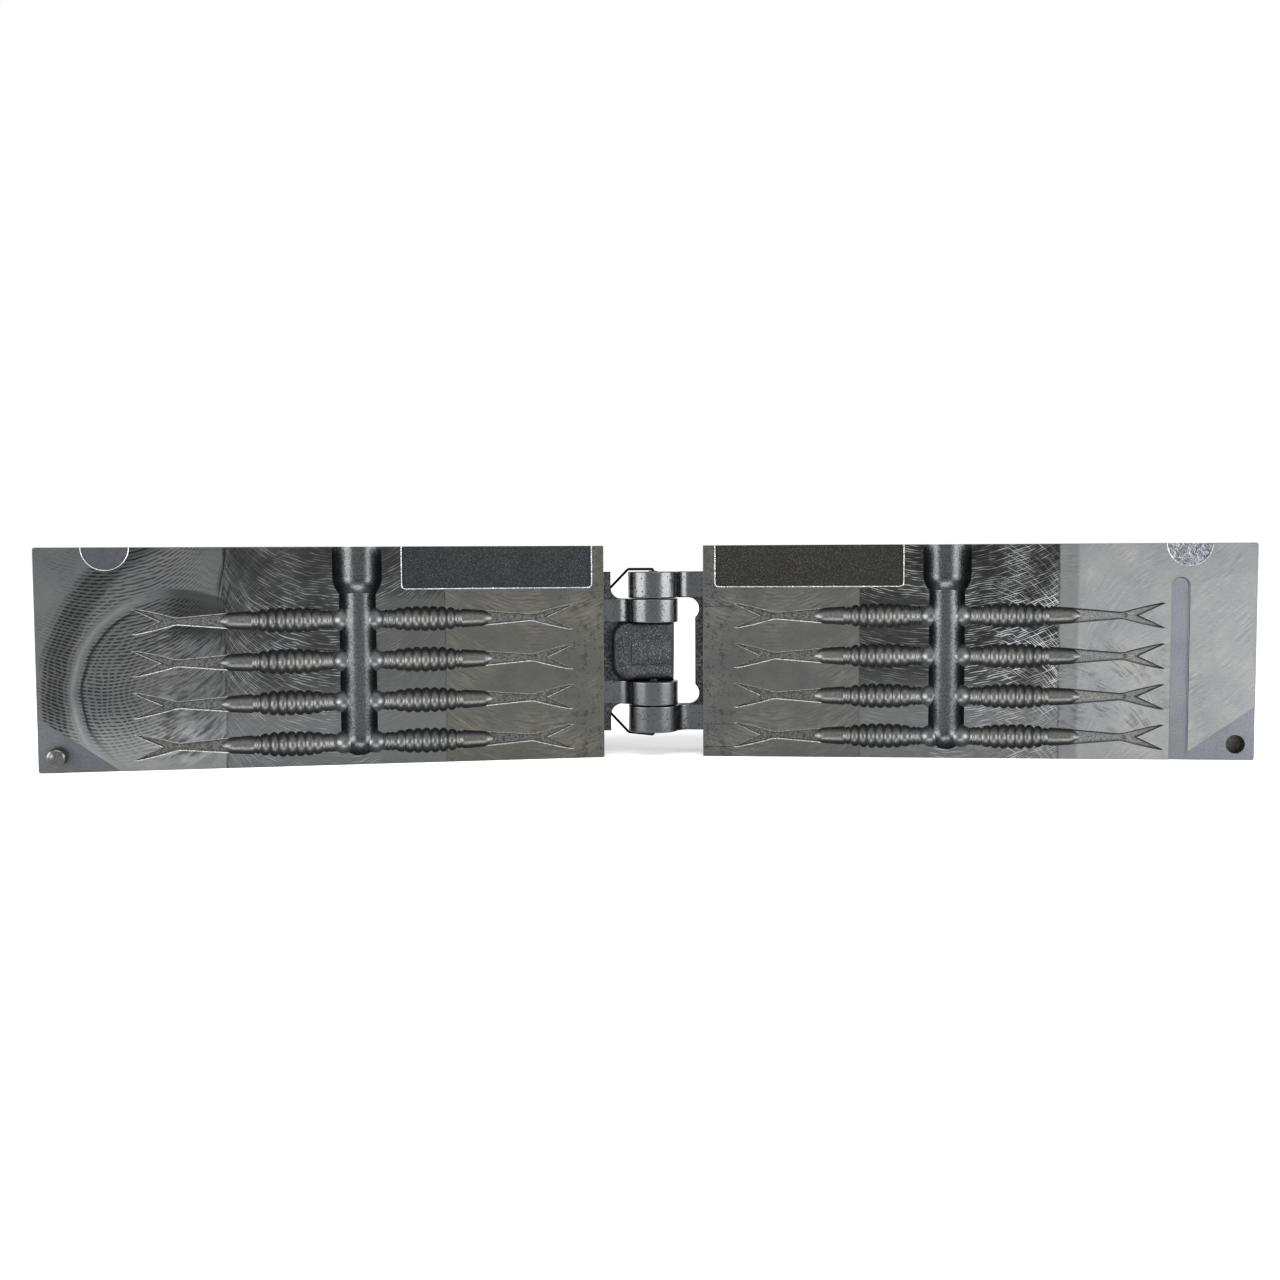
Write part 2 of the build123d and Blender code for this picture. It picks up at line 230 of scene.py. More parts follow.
class Graph:
    """A material whose pattern is written as sums on node sockets."""

    def __init__(self, name: str, metallic: float, roughness: float) -> None:
        """Start a material with its plain numbers set on the shader itself."""
        self.material = bpy.data.materials.new(name)
        self.material.use_nodes = True
        self.tree = self.material.node_tree
        self.shader = self.tree.nodes["Principled BSDF"]
        self.shader.inputs["Metallic"].default_value = metallic
        self.shader.inputs["Roughness"].default_value = roughness

    @classmethod
    def of_tree(cls, tree: bpy.types.NodeTree) -> Graph:
        """Write sums in a tree that exists, such as the world's."""
        graph = cls.__new__(cls)
        graph.tree = tree
        return graph

    def seen_directly(self) -> Socket:
        """1 where the eye, a mirror or clear glass looks, and 0 where light is scattered."""
        path = self.add("ShaderNodeLightPath").outputs
        mirror = self.math("MAXIMUM", path["Is Camera Ray"], path["Is Glossy Ray"])
        return self.math("MAXIMUM", mirror, path["Is Transmission Ray"])

    def put(self, socket: Socket, value: Value) -> None:
        """Link a socket to another, or set its plain number."""
        if isinstance(value, bpy.types.NodeSocket):
            self.tree.links.new(value, socket)
        else:
            socket.default_value = value

    def add(self, kind: str, **settings: object) -> bpy.types.Node:
        """Make a node and set its own options."""
        node = self.tree.nodes.new(kind)
        for name, value in settings.items():
            setattr(node, name, value)
        return node

    def math(self, operation: str, *values: Value) -> Socket:
        """One sum of up to three values."""
        node = self.add("ShaderNodeMath", operation=operation)
        for socket, value in zip(node.inputs, values):
            self.put(socket, value)
        return node.outputs[0]

    def times(self, *values: Value) -> Socket:
        """Product of two or more values."""
        product = values[0]
        for value in values[1:]:
            product = self.math("MULTIPLY", product, value)
        return product

    def plus(self, *values: Value) -> Socket:
        """Sum of two or more values."""
        total = values[0]
        for value in values[1:]:
            total = self.math("ADD", total, value)
        return total

    def centred(self, value: Value) -> Socket:
        """A value from 0 to 1 moved to lie about zero."""
        return self.math("SUBTRACT", value, 0.5)

    def away(self, value: Value, where: float) -> Socket:
        """How far a value lies from a number."""
        return self.math("ABSOLUTE", self.math("SUBTRACT", value, where))

    def ease(self, value: Value, low: float, high: float) -> Socket:
        """Smooth step from 0 at low to 1 at high; low may be the larger one."""
        node = self.add("ShaderNodeMapRange", interpolation_type="SMOOTHSTEP", clamp=True)
        flip = low > high
        self.put(node.inputs["Value"], value)
        node.inputs["From Min"].default_value = min(low, high)
        node.inputs["From Max"].default_value = max(low, high)
        node.inputs["To Min"].default_value = float(flip)
        node.inputs["To Max"].default_value = float(not flip)
        return node.outputs["Result"]

    def blend(self, share: Value, low: Value, high: Value) -> Socket:
        """Value between two others."""
        node = self.add("ShaderNodeMix", data_type="FLOAT")
        for place, value in zip((0, 2, 3), (share, low, high)):
            self.put(node.inputs[place], value)
        return node.outputs[0]

    def wave(self, turns: Value) -> Socket:
        """Sine from 0 to 1 that repeats with each whole turn."""
        return self.math("MULTIPLY_ADD", self.math("SINE", self.times(turns, 2 * math.pi)), 0.5, 0.5)

    def vector(self, x: Value, y: Value, z: Value) -> Socket:
        """Join three values."""
        node = self.add("ShaderNodeCombineXYZ")
        for socket, value in zip(node.inputs, (x, y, z)):
            self.put(socket, value)
        return node.outputs[0]

    def noise(self, vector: Socket, scale: float, detail: float = 2.0, rough: float = 0.5) -> Socket:
        """Noise from 0 to 1 about one half."""
        node = self.add("ShaderNodeTexNoise")
        self.put(node.inputs["Vector"], vector)
        node.inputs["Scale"].default_value = scale
        node.inputs["Detail"].default_value = detail
        node.inputs["Roughness"].default_value = rough
        return node.outputs["Fac"]

    def spots(self, vector: Socket, scale: float) -> Socket:
        """Distance from the nearest of many scattered points, in their own spacing."""
        node = self.add("ShaderNodeTexVoronoi")
        self.put(node.inputs["Vector"], vector)
        node.inputs["Scale"].default_value = scale
        return node.outputs["Distance"]

    def flat_place(self, stance: Stance) -> Socket:
        """Object coordinates turned back to flat (u, d, z) in millimetres."""
        place = self.add("ShaderNodeTexCoord").outputs["Object"]
        node = self.add("ShaderNodeMapping", vector_type="POINT")
        self.put(node.inputs["Vector"], place)
        hinge = stance.hinge_y
        node.inputs["Location"].default_value = (hinge * math.sin(SPLAY), -hinge * math.cos(SPLAY), 0.0)
        node.inputs["Rotation"].default_value = (0.0, 0.0, SPLAY)
        node.inputs["Scale"].default_value = (stance.side.value / MM, 1 / MM, 1 / MM)
        return node.outputs["Vector"]

    def apart(self, vector: Socket) -> tuple[Socket, Socket, Socket]:
        """The three parts of a vector."""
        node = self.add("ShaderNodeSeparateXYZ")
        self.put(node.inputs[0], vector)
        return node.outputs[0], node.outputs[1], node.outputs[2]

    def colour(self, light: Value, warmth: Value) -> None:
        """Base colour: a grey of this lightness, olive where warmth is 1 and bluish where it is 0."""
        node = self.add("ShaderNodeCombineColor")
        red = self.times(light, self.blend(warmth, 0.95, 1.02))
        blue = self.times(light, self.blend(warmth, 1.13, 0.84))
        for socket, value in zip(node.inputs, (red, light, blue)):
            self.put(socket, value)
        self.put(self.shader.inputs["Base Color"], node.outputs[0])

    def relief(self, height: Value, distance: float) -> None:
        """Bump the surface by a height from 0 to 1, which stands for this many millimetres."""
        node = self.add("ShaderNodeBump")
        node.inputs["Distance"].default_value = distance * MM
        self.put(node.inputs["Height"], height)
        self.put(self.shader.inputs["Normal"], node.outputs["Normal"])

    def roughen(self, value: Value) -> None:
        """Roughness from a pattern."""
        self.put(self.shader.inputs["Roughness"], value)


class Ground(NamedTuple):
    """What every pass of the milled face is drawn on: the flat place, its u and z, and two slow noises."""

    place: Socket
    u: Socket
    z: Socket
    wander: Socket
    cloud: Socket


@dataclass(frozen=True)
class CutterMarks:
    """One family of arcs that a fly cutter leaves: equal circles spaced along their feed, which is upward.

    The sweep is the circles' radius, the middle is where their crests lie, and the bulge is 1 where they
    arch upward and -1 where they hang. Even lines have 1 in even, broken ones have 0.
    """

    sweep: float
    middle: float
    spacing: float
    bulge: int
    seed: float = 0.0
    even: float = 0.5
    bend: float = 2.6

    def lines(self, graph: Graph, at: Ground) -> Socket:
        """Stripes across the feed, from 0 to 1: a sine of the distance fed over the spacing, mixed with
        a noise that is long along the arc and short across it.

        The distance fed is the height plus or minus the root of the circle's radius squared less the
        square of the distance from its middle line.

        Args:
            graph: the material's graph.
            at: the place, and the slow noise that bends the lines.

        Returns:
            The stripes.
        """
        off = graph.math("SUBTRACT", at.u, self.middle)
        under = graph.math("SUBTRACT", self.sweep**2, graph.times(off, off))
        root = graph.math("SQRT", graph.math("MAXIMUM", under, 0.0))
        fed = graph.times(graph.math("MULTIPLY_ADD", root, float(-self.bulge), at.z), 1 / self.spacing)
        fed = graph.math("MULTIPLY_ADD", at.wander, self.bend, fed)
        streak = graph.noise(graph.vector(fed, graph.times(at.u, 0.16), self.seed), 1.0, 2.0, 0.6)
        return graph.blend(self.even, graph.ease(streak, 0.3, 0.7), graph.wave(fed))


PLAIN_ARCS = CutterMarks(sweep=46.0, middle=42.0, spacing=1.3, bulge=-1, seed=8.0, even=0.3)
RISING = CutterMarks(sweep=46.0, middle=194.0, spacing=0.9, bulge=1, seed=3.0, even=0.1, bend=1.5)
SWEEPING = CutterMarks(sweep=105.0, middle=130.0, spacing=1.0, bulge=-1, seed=6.0, even=0.1, bend=1.5)
FALLING = CutterMarks(sweep=38.0, middle=138.0, spacing=1.1, bulge=1, seed=4.0, even=0.1)
SWIRL_ROWS = CutterMarks(sweep=44.0, middle=186.0, spacing=1.16, bulge=-1, seed=9.0, even=0.7, bend=1.2)
WIDE_STROKES = CutterMarks(sweep=34.0, middle=175.0, spacing=2.3, bulge=-1, seed=12.0, even=0.0, bend=1.0)
THIN_STROKES = CutterMarks(sweep=34.0, middle=175.0, spacing=0.95, bulge=-1, seed=15.0, even=0.2, bend=1.0)


@dataclass(frozen=True)
class MilledFace:
    """The parting face, dressed in three passes: plain beside the hinge, hatched round the runner, and
    outside it swirled on one half and satin on the other.

    Lights are the base greys of the passes. Edges are the places where one pass meets the next.
    """

    inner_light: float
    hatch_ground: float
    near_light: float
    hatch: float
    outer_light: float
    inner_edge: float
    outer_edge: float
    cups: CutterMarks
    caps: CutterMarks
    cap_amount: float
    olive: float
    pitted: float
    swirl: bool
    scratches: tuple[float, ...] = ()
    seam: float = 0.4
    ring_centre: Pair = (162.5, 26.0)
    band_centre: Pair = (141.2, 23.8)

    def build(self, name: str, stance: Stance) -> bpy.types.Material:
        """Make the face's material.

        Args:
            name: the material's name.
            stance: the half that it is for.

        Returns:
            The material.
        """
        graph = Graph(name, 1.0, 0.3)
        place = graph.flat_place(stance)
        u, _, z = graph.apart(place)
        wander = graph.noise(place, 0.11, 2.0)
        cloud = graph.noise(place, 0.05, 3.0, 0.55)
        at = Ground(place, u, z, wander, cloud)
        fine = graph.noise(graph.vector(graph.times(u, 0.5), 0.0, graph.times(z, 2.4)), 1.0, 3.0, 0.7)
        speck = graph.noise(place, 2.6, 2.0, 0.6)
        edge_u = graph.math("MULTIPLY_ADD", graph.centred(wander), 1.6, u)
        inside = graph.ease(edge_u, self.inner_edge + self.seam, self.inner_edge - self.seam)
        outside = graph.ease(edge_u, self.outer_edge - self.seam, self.outer_edge + self.seam)
        outer = self.swirled(graph, at) if self.swirl else self.satin(graph, at)
        light = graph.blend(outside, self.hatched(graph, at), outer)
        light = graph.blend(inside, light, self.plain(graph, at))
        light = graph.times(light, self.seams(graph, at, edge_u, speck))
        light = graph.times(light, graph.blend(fine, 0.74, 1.26), graph.blend(speck, 0.82, 1.18))
        warmth = graph.plus(graph.blend(inside, 0.42, self.olive), -0.3)
        graph.colour(graph.math("MAXIMUM", light, 0.014), graph.math("MULTIPLY_ADD", cloud, 0.6, warmth))
        graph.roughen(graph.blend(fine, 0.24, 0.36))
        height = graph.plus(graph.times(light, 2.0), graph.times(fine, 0.6), graph.times(speck, 0.3))
        graph.relief(height, 0.03)
        return graph.material

    def hatched(self, graph: Graph, at: Ground) -> Socket:
        """Two crossing families of bright lines on a dark ground, weaker and lighter low down, and nearly
        plain on the hinge's side of the runner."""
        cup, cap = self.cups.lines(graph, at), self.caps.lines(graph, at)
        patch = graph.ease(graph.noise(at.place, 0.09, 2.0), 0.38, 0.6)
        outward = graph.ease(at.u, 112.0, 128.0)
        near = graph.times(graph.ease(at.u, 99.0, 95.0), graph.ease(at.z, 60.0, 56.0))
        second = graph.times(graph.ease(cap, 0.64, 0.95), outward, self.cap_amount)
        lines = graph.math("MAXIMUM", graph.ease(cup, 0.6, 0.95), second)
        low = graph.ease(at.z, 33.0, 14.0)
        quiet = graph.blend(graph.ease(at.z, 56.0, 60.0), 1.0, 0.55)
        amount = graph.times(lines, self.hatch, graph.blend(low, 1.0, 0.5), graph.blend(patch, 0.5, 1.3))
        amount = graph.times(amount, quiet, graph.blend(near, 1.0, 0.22))
        dark = graph.plus(self.hatch_ground, graph.times(patch, 0.012))
        ground = graph.blend(near, dark, self.near_light)
        return graph.plus(amount, graph.blend(low, ground, self.inner_light * 1.2))

    def plain(self, graph: Graph, at: Ground) -> Socket:
        """Dull satin with faint arcs, blotches and pits near the hinge, and thin scratches across them."""
        faint = graph.centred(PLAIN_ARCS.lines(graph, at))
        faint = graph.times(faint, graph.ease(at.cloud, 0.42, 0.62), 0.05)
        ground = graph.plus(self.inner_light, faint, graph.times(graph.centred(at.cloud), 0.07))
        blotch = graph.ease(graph.noise(at.place, 0.34, 3.0, 0.7), 0.53, 0.62)
        near = graph.times(graph.ease(at.u, 42.0, 22.0), blotch)
        ground = graph.times(ground, graph.blend(near, 1.0, 0.66))
        hole = graph.ease(graph.spots(at.place, 1.1), 0.3, 0.16)
        some = graph.ease(graph.noise(at.place, 0.22, 1.0), 0.48, 0.56)
        pit = graph.times(hole, some, graph.ease(at.u, 29.0, 22.0), self.pitted)
        ground = graph.times(ground, graph.math("SUBTRACT", 1.0, pit))
        for height in self.scratches:
            off = graph.away(graph.math("MULTIPLY_ADD", at.wander, 0.6, at.z), height + 0.3)
            line = graph.times(graph.ease(off, 0.22, 0.08), graph.ease(at.u, 31.0, 27.0))
            ground = graph.times(ground, graph.blend(line, 1.0, 0.5))
        return ground

    def satin(self, graph: Graph, at: Ground) -> Socket:
        """Light satin with long faint strokes, scuffs low down and a duller band along the hatching."""
        u, z = at.u, at.z
        rising, sweeping = RISING.lines(graph, at), SWEEPING.lines(graph, at)
        strokes = graph.centred(graph.blend(graph.ease(u, 168.0, 184.0), rising, sweeping))
        brushed = graph.times(strokes, graph.ease(at.wander, 0.38, 0.66), self.outer_light * 0.35)
        drift = graph.times(graph.centred(at.cloud), self.outer_light * 0.7)
        ground = graph.plus(self.outer_light, brushed, drift)
        band = graph.times(graph.ease(z, 44.0, 36.0), graph.ease(z, 4.0, 14.0), graph.ease(u, 186.0, 172.0))
        patch = graph.ease(graph.noise(at.place, 0.14, 2.0), 0.42, 0.6)
        scuff = graph.times(patch, graph.ease(FALLING.lines(graph, at), 0.6, 0.3), band)
        ground = graph.times(ground, graph.blend(scuff, 1.0, 0.66))
        return graph.times(ground, graph.blend(graph.ease(u, 148.4, 147.0), 1.0, 0.72))

    def swirled(self, graph: Graph, at: Ground) -> Socket:
        """Rings about the point where the cutter turned, broken into rows of dashes, with wide light strokes
        sweeping up through the tails; the dashes and strokes are cutter marks, and the rings' dark and light
        bands are painted reflection of the cut's sheen.

        The inner ring runs about one point and the wide outer band about another; the rows are cutter arcs,
        and a sine of the distance parts them into dashes.
        """
        across = graph.math("SUBTRACT", at.u, self.ring_centre[0])
        up = graph.math("SUBTRACT", at.z, self.ring_centre[1])
        bent = graph.times(graph.centred(at.cloud), 2.5)
        distance = graph.plus(self.reach(graph, at, self.ring_centre), bent)
        wider = graph.plus(self.reach(graph, at, self.band_centre), bent)
        leftward = graph.ease(graph.plus(across, graph.times(up, 0.15)), -14.0, 12.0)
        upward = graph.times(graph.ease(up, -27.0, -8.0), leftward)
        # Painted reflection: the wide band, the ring between and the inner ring darken the grey as the cut's
        # sheen would.
        band = graph.times(graph.ease(wider, 55.0, 59.0), graph.ease(wider, 67.5, 63.0), upward)
        between = graph.times(graph.ease(distance, 34.8, 36.0), graph.ease(wider, 58.5, 56.5), upward, 0.6)
        inner = graph.times(graph.ease(distance, 32.4, 31.2), graph.ease(distance, 2.0, 20.0), upward)
        light = graph.plus(self.outer_light, graph.times(graph.centred(at.cloud), 0.1))
        light = graph.times(light, graph.blend(graph.ease(at.z, 25.0, 9.0), 0.62, 1.0))
        light = graph.times(light, graph.blend(band, 1.0, 0.5))
        # Painted reflection: a dark patch over the upper left of the rings.
        painted_dark_hood = graph.times(graph.ease(up, 15.0, 21.0), graph.ease(distance, 35.4, 34.4))
        light = graph.times(light, graph.blend(graph.times(painted_dark_hood, graph.ease(across, 8.0, -2.0)), 1.0, 0.45))
        # Painted reflection: a dark line 30.6 mm and a light arc 33.6 mm from the rings' centre.
        for radius, width, share in ((30.6, 0.7, 0.35), (33.6, 0.9, 1.3)):
            line = graph.ease(graph.away(distance, radius), width, width * 0.4)
            line = graph.times(line, upward, graph.ease(across, 8.0, 18.0))
            light = graph.times(light, graph.blend(line, 1.0, share))
        light = graph.times(light, self.strokes(graph, at, distance, across, up))
        # Painted reflection: a duller patch inside the rings.
        dull = graph.times(graph.ease(distance, 33.0, 30.0), graph.ease(up, -20.0, -6.0))
        light = graph.times(light, graph.blend(dull, 1.0, 0.8))
        dash = self.dashes(graph, at, distance)
        # Painted reflection: inside the rings the dashes go nearly black and the metal between them lighter.
        ring = graph.math("MAXIMUM", graph.math("MAXIMUM", band, between), graph.times(inner, 0.7))
        worn = graph.times(dash, graph.ease(at.wander, 0.4, 0.6), graph.ease(up, -27.0, -12.0))
        share = graph.blend(ring, graph.blend(worn, 1.0, 0.8), graph.blend(dash, 1.25, 0.08))
        return graph.times(light, share)

    def strokes(self, graph: Graph, at: Ground, distance: Socket, across: Socket, up: Socket) -> Socket:
        """Share of light of the strokes inside the rings, thin high up and wide low down."""
        thin, wide = THIN_STROKES.lines(graph, at), WIDE_STROKES.lines(graph, at)
        stroke = graph.centred(graph.blend(graph.ease(up, 8.0, -2.0), thin, wide))
        swept = graph.times(graph.ease(distance, 27.0, 20.0), graph.ease(across, 12.0, 4.0))
        return graph.plus(1.0, graph.times(stroke, swept, 1.2))

    def dashes(self, graph: Graph, at: Ground, distance: Socket) -> Socket:
        """Rows of cutter arcs, parted by a sine of the distance from the rings' centre."""
        rows = graph.ease(SWIRL_ROWS.lines(graph, at), 0.7, 0.36)
        parted = graph.wave(graph.math("MULTIPLY_ADD", at.wander, 2.5, graph.times(distance, 0.52)))
        return graph.times(rows, graph.blend(graph.ease(parted, 0.85, 0.5), 0.4, 1.0))

    def reach(self, graph: Graph, at: Ground, centre: Pair) -> Socket:
        """Distance from a point (u, z): the root of the squares of the places across and up from it."""
        across = graph.math("SUBTRACT", at.u, centre[0])
        up = graph.math("SUBTRACT", at.z, centre[1])
        return graph.math("SQRT", graph.plus(graph.times(across, across), graph.times(up, up)))

    def seams(self, graph: Graph, at: Ground, edge_u: Socket, speck: Socket) -> Socket:
        """Share of light: thin broken lines where passes meet, and upright cracks beside the outer one."""
        u, z = at.u, at.z
        shade = 1.0
        for where, width in ((self.outer_edge, 0.5), (self.inner_edge, 0.3)):
            line = graph.ease(graph.away(edge_u, where), width, width * 0.3)
            line = graph.times(line, graph.ease(speck, 0.35, 0.6))
            shade = graph.times(shade, graph.blend(line, 1.0, 0.45))
        if not self.swirl:
            return shade
        slanted = graph.plus(graph.times(u, 0.9), graph.times(z, 0.16))
        upright = graph.vector(slanted, 0.0, graph.times(z, 0.07))
        crack = graph.ease(graph.noise(upright, 1.0, 2.0, 0.55), 0.53, 0.6)
        near = graph.ease(graph.away(u, self.outer_edge), 2.8, 1.2)
        near = graph.times(near, graph.blend(graph.ease(z, 20.0, 50.0), 0.35, 1.0))
        return graph.times(shade, graph.blend(graph.times(crack, near), 1.0, 0.35))


@dataclass(frozen=True)
class CastSkin:
    """As-cast or blasted metal: a grain, pits and stains, painted glints, and painted light or shade near the
    face.

    Light is the base grey and grain its spread; the grain's size and the bump are in millimetres.
    rim_painted_light is the depth that it reaches and its share of the light: a painted highlight above 1,
    painted shade below 1.
    """

    light: float
    grain: float
    size: float
    warmth: float
    rough: float
    bump: float
    pits: float = 0.0
    rim_painted_light: Pair = (0.0, 1.0)
    painted_glints: float = 0.0

    def build(self, name: str, stance: Stance) -> bpy.types.Material:
        """Make the skin's material.

        Args:
            name: the material's name.
            stance: the half that it is for.

        Returns:
            The material.
        """
        graph = Graph(name, 1.0, self.rough)
        place = graph.flat_place(stance)
        _, d, _ = graph.apart(place)
        grain = graph.noise(place, 1 / self.size, 3.0, 0.65)
        cloud = graph.noise(place, 0.08, 3.0, 0.6)
        spread = graph.blend(graph.ease(grain, 0.3, 0.7), 1 - self.grain, 1 + self.grain)
        light = graph.times(self.light, spread, graph.blend(cloud, 0.75, 1.25))
        height = grain
        # Painted glints: bright specks added to the grey where a rough cast skin would catch the lamps.
        if self.painted_glints:
            bright = graph.ease(graph.noise(place, 1.3 / self.size, 1.0), 0.62, 0.74)
            light = graph.plus(light, graph.times(bright, self.painted_glints))
        if self.pits:
            near = graph.ease(graph.spots(place, 0.8), 0.26, 0.14)
            some = graph.ease(graph.noise(place, 0.3, 1.0), 0.4, 0.52)
            pit = graph.times(near, some, self.pits)
            light = graph.times(light, graph.math("SUBTRACT", 1.0, graph.times(pit, 0.8)))
            height = graph.math("SUBTRACT", height, graph.times(pit, 2.0))
        # Painted light and shade near the face: the grey is multiplied by the share, a painted highlight on
        # lips where it is above 1 and painted shade on walls and edges where it is below 1.
        reach, share = self.rim_painted_light
        if reach:
            light = graph.times(light, graph.blend(graph.ease(d, reach, reach * 0.35), 1.0, share))
        warmth = graph.blend(cloud, self.warmth - 0.25, self.warmth + 0.25)
        graph.colour(graph.math("MAXIMUM", light, 0.015), warmth)
        graph.roughen(graph.blend(grain, self.rough - 0.06, self.rough + 0.08))
        graph.relief(height, self.bump)
        return graph.material


@dataclass(frozen=True)
class PlainMetal:
    """Finish of the pins and the wire: lengthwise streaks and a little wear."""

    light: float
    metallic: float
    rough: float
    streak: float
    index: float = 1.5

    def build(self, name: str, stance: Stance) -> bpy.types.Material:
        """Make the material, with its streaks round the piece in its flat place."""
        graph = Graph(name, self.metallic, self.rough)
        graph.shader.inputs["IOR"].default_value = self.index
        place = graph.flat_place(stance)
        u, d, z = graph.apart(place)
        around = graph.vector(graph.times(u, 3.0), graph.times(d, 3.0), graph.times(z, 0.4))
        drawn = graph.noise(around, 1.0, 3.0)
        worn = graph.ease(graph.noise(place, 0.5, 3.0), 0.55, 0.7)
        light = graph.times(self.light, graph.blend(drawn, 1 - self.streak, 1 + self.streak))
        light = graph.times(light, graph.blend(worn, 1.0, 1.3))
        graph.colour(light, 0.5)
        graph.roughen(graph.blend(drawn, self.rough - 0.06, self.rough + 0.06))
        graph.relief(drawn, 0.01)
        return graph.material


PIN_STEEL = PlainMetal(light=0.02, metallic=1.0, rough=0.55, streak=0.12)
BLACK_WIRE = PlainMetal(light=0.004, metallic=0.0, rough=0.6, streak=0.2, index=1.0)
DOWEL_STEEL = PlainMetal(light=0.065, metallic=1.0, rough=0.3, streak=0.15)
FACES = {
    Side.LEFT: MilledFace(
        inner_light=0.073,
        hatch_ground=0.026,
        near_light=0.064,
        hatch=0.15,
        outer_light=0.15,
        inner_edge=73.2,
        outer_edge=147.0,
        cups=CutterMarks(sweep=41.0, middle=110.0, spacing=0.95, bulge=-1, seed=2.0),
        caps=CutterMarks(sweep=38.0, middle=112.0, spacing=0.95, bulge=1, seed=5.0),
        cap_amount=0.35,
        olive=0.8,
        pitted=0.35,
        swirl=True,
    ),
    Side.RIGHT: MilledFace(
        inner_light=0.076,
        hatch_ground=0.018,
        near_light=0.026,
        hatch=0.32,
        outer_light=0.195,
        inner_edge=72.7,
        outer_edge=141.2,
        cups=CutterMarks(sweep=85.0, middle=100.0, spacing=0.8, bulge=-1, seed=2.0),
        caps=CutterMarks(sweep=45.0, middle=104.0, spacing=0.8, bulge=1, seed=5.0),
        cap_amount=1.0,
        olive=0.6,
        pitted=0.8,
        swirl=False,
        scratches=(53.4, 11.5, 3.6),
    ),
}
# Near the face these skins carry painted light and shade: painted shade on the feed's and cavities' walls,
# round the pads and slot and on the boss's rounded edges; a painted highlight on the tails' and panel's lips;
# on the gate a painted highlight on the upper walls over a darker deep pocket.
SKINS = {
    "sides": CastSkin(light=0.1, grain=0.12, size=0.8, warmth=0.5, rough=0.68, bump=0.05, pits=0.6),
    "back": CastSkin(light=0.15, grain=0.15, size=1.2, warmth=0.5, rough=0.5, bump=0.08, pits=0.8),
    "feed": CastSkin(light=0.052, grain=0.3, size=0.75, warmth=0.3, rough=0.27, bump=0.05, rim_painted_light=(0.6, 0.5)),
    "cavity": CastSkin(light=0.086, grain=0.3, size=0.5, warmth=0.5, rough=0.4, bump=0.05, rim_painted_light=(0.4, 0.55)),
    "gate": CastSkin(light=0.09, grain=0.15, size=0.6, warmth=0.4, rough=0.36, bump=0.03, rim_painted_light=(5.0, 2.2)),
    "tail": CastSkin(light=0.066, grain=0.5, size=0.7, warmth=0.6, rough=0.42, bump=0.1, rim_painted_light=(0.24, 2.6)),
    "knuckle": CastSkin(light=0.064, grain=0.14, size=0.7, warmth=0.3, rough=0.23, bump=0.035, pits=1.0),
    "flange": CastSkin(
        light=0.03, grain=0.65, size=0.9, warmth=0.3, rough=0.42, bump=0.15, pits=1.0, painted_glints=0.04
    ),
    "boss": CastSkin(
        light=0.03, grain=0.8, size=0.5, warmth=0.2, rough=0.5, bump=0.25, rim_painted_light=(-2.6, 0.06), painted_glints=0.11
    ),
    "panel": CastSkin(
        light=0.018, grain=0.6, size=0.45, warmth=0.1, rough=0.5, bump=0.16, rim_painted_light=(0.3, 14.0), painted_glints=0.07
    ),
    "pad": CastSkin(light=0.085, grain=0.12, size=0.6, warmth=0.1, rough=0.42, bump=0.05, rim_painted_light=(0.35, 0.4)),
    # The groove skin is near black: painted shade on the walls of the boss's raised pad, drawing a dark frame
    # line round it.
    "groove": CastSkin(light=0.01, grain=0.3, size=0.5, warmth=0.2, rough=0.5, bump=0.1),
    "hole": CastSkin(light=0.07, grain=0.3, size=0.7, warmth=0.9, rough=0.45, bump=0.05),
}
# Near the face these skins carry painted light and shade too: a painted highlight round the discs and on the
# left outer tails' lips, painted shade on the right outer tails' lips.
SIDE_SKINS = {
    Side.LEFT: {
        "tail_out": replace(SKINS["tail"], light=0.07, warmth=0.5, rim_painted_light=(0.24, 3.0)),
        "disc": replace(SKINS["pad"], light=0.058, grain=0.08, size=0.8, bump=0.03, rim_painted_light=(0.3, 4.0)),
    },
    Side.RIGHT: {
        "tail_out": replace(SKINS["tail"], light=0.11, grain=0.4, size=0.5, warmth=0.5, rim_painted_light=(0.45, 0.25)),
        "panel": replace(SKINS["panel"], light=0.016, warmth=0.75),
        "pad": replace(SKINS["pad"], light=0.125),
        "disc": CastSkin(
            light=0.115, grain=0.6, size=0.9, warmth=0.1, rough=0.36, bump=0.3, rim_painted_light=(0.3, 1.8)
        ),
    },
}


def place_shell(
    name: str, shell: Shell, stance: Stance, materials: list[bpy.types.Material]
) -> bpy.types.Object:
    """Put a flat shell into the row frame as a mesh whose faces point outwards.

    Args:
        name: the object's name.
        shell: the flat shell.
        stance: the half it belongs to.
        materials: the finishes that the shell's face numbers point into.

    Returns:
        The new object, linked to the scene.
    """
    points = stance.to_row(shell.points)
    faces = shell.faces
    if enclosed(points, faces) < 0:
        faces = [face[::-1] for face in faces]
    mesh = bpy.data.meshes.new(name)
    mesh.from_pydata(points.tolist(), [], faces)
    for material in materials:
        mesh.materials.append(material)
    if shell.finishes:
        mesh.polygons.foreach_set("material_index", shell.finishes)
    piece = bpy.data.objects.new(name, mesh)
    bpy.context.scene.collection.objects.link(piece)
    return piece


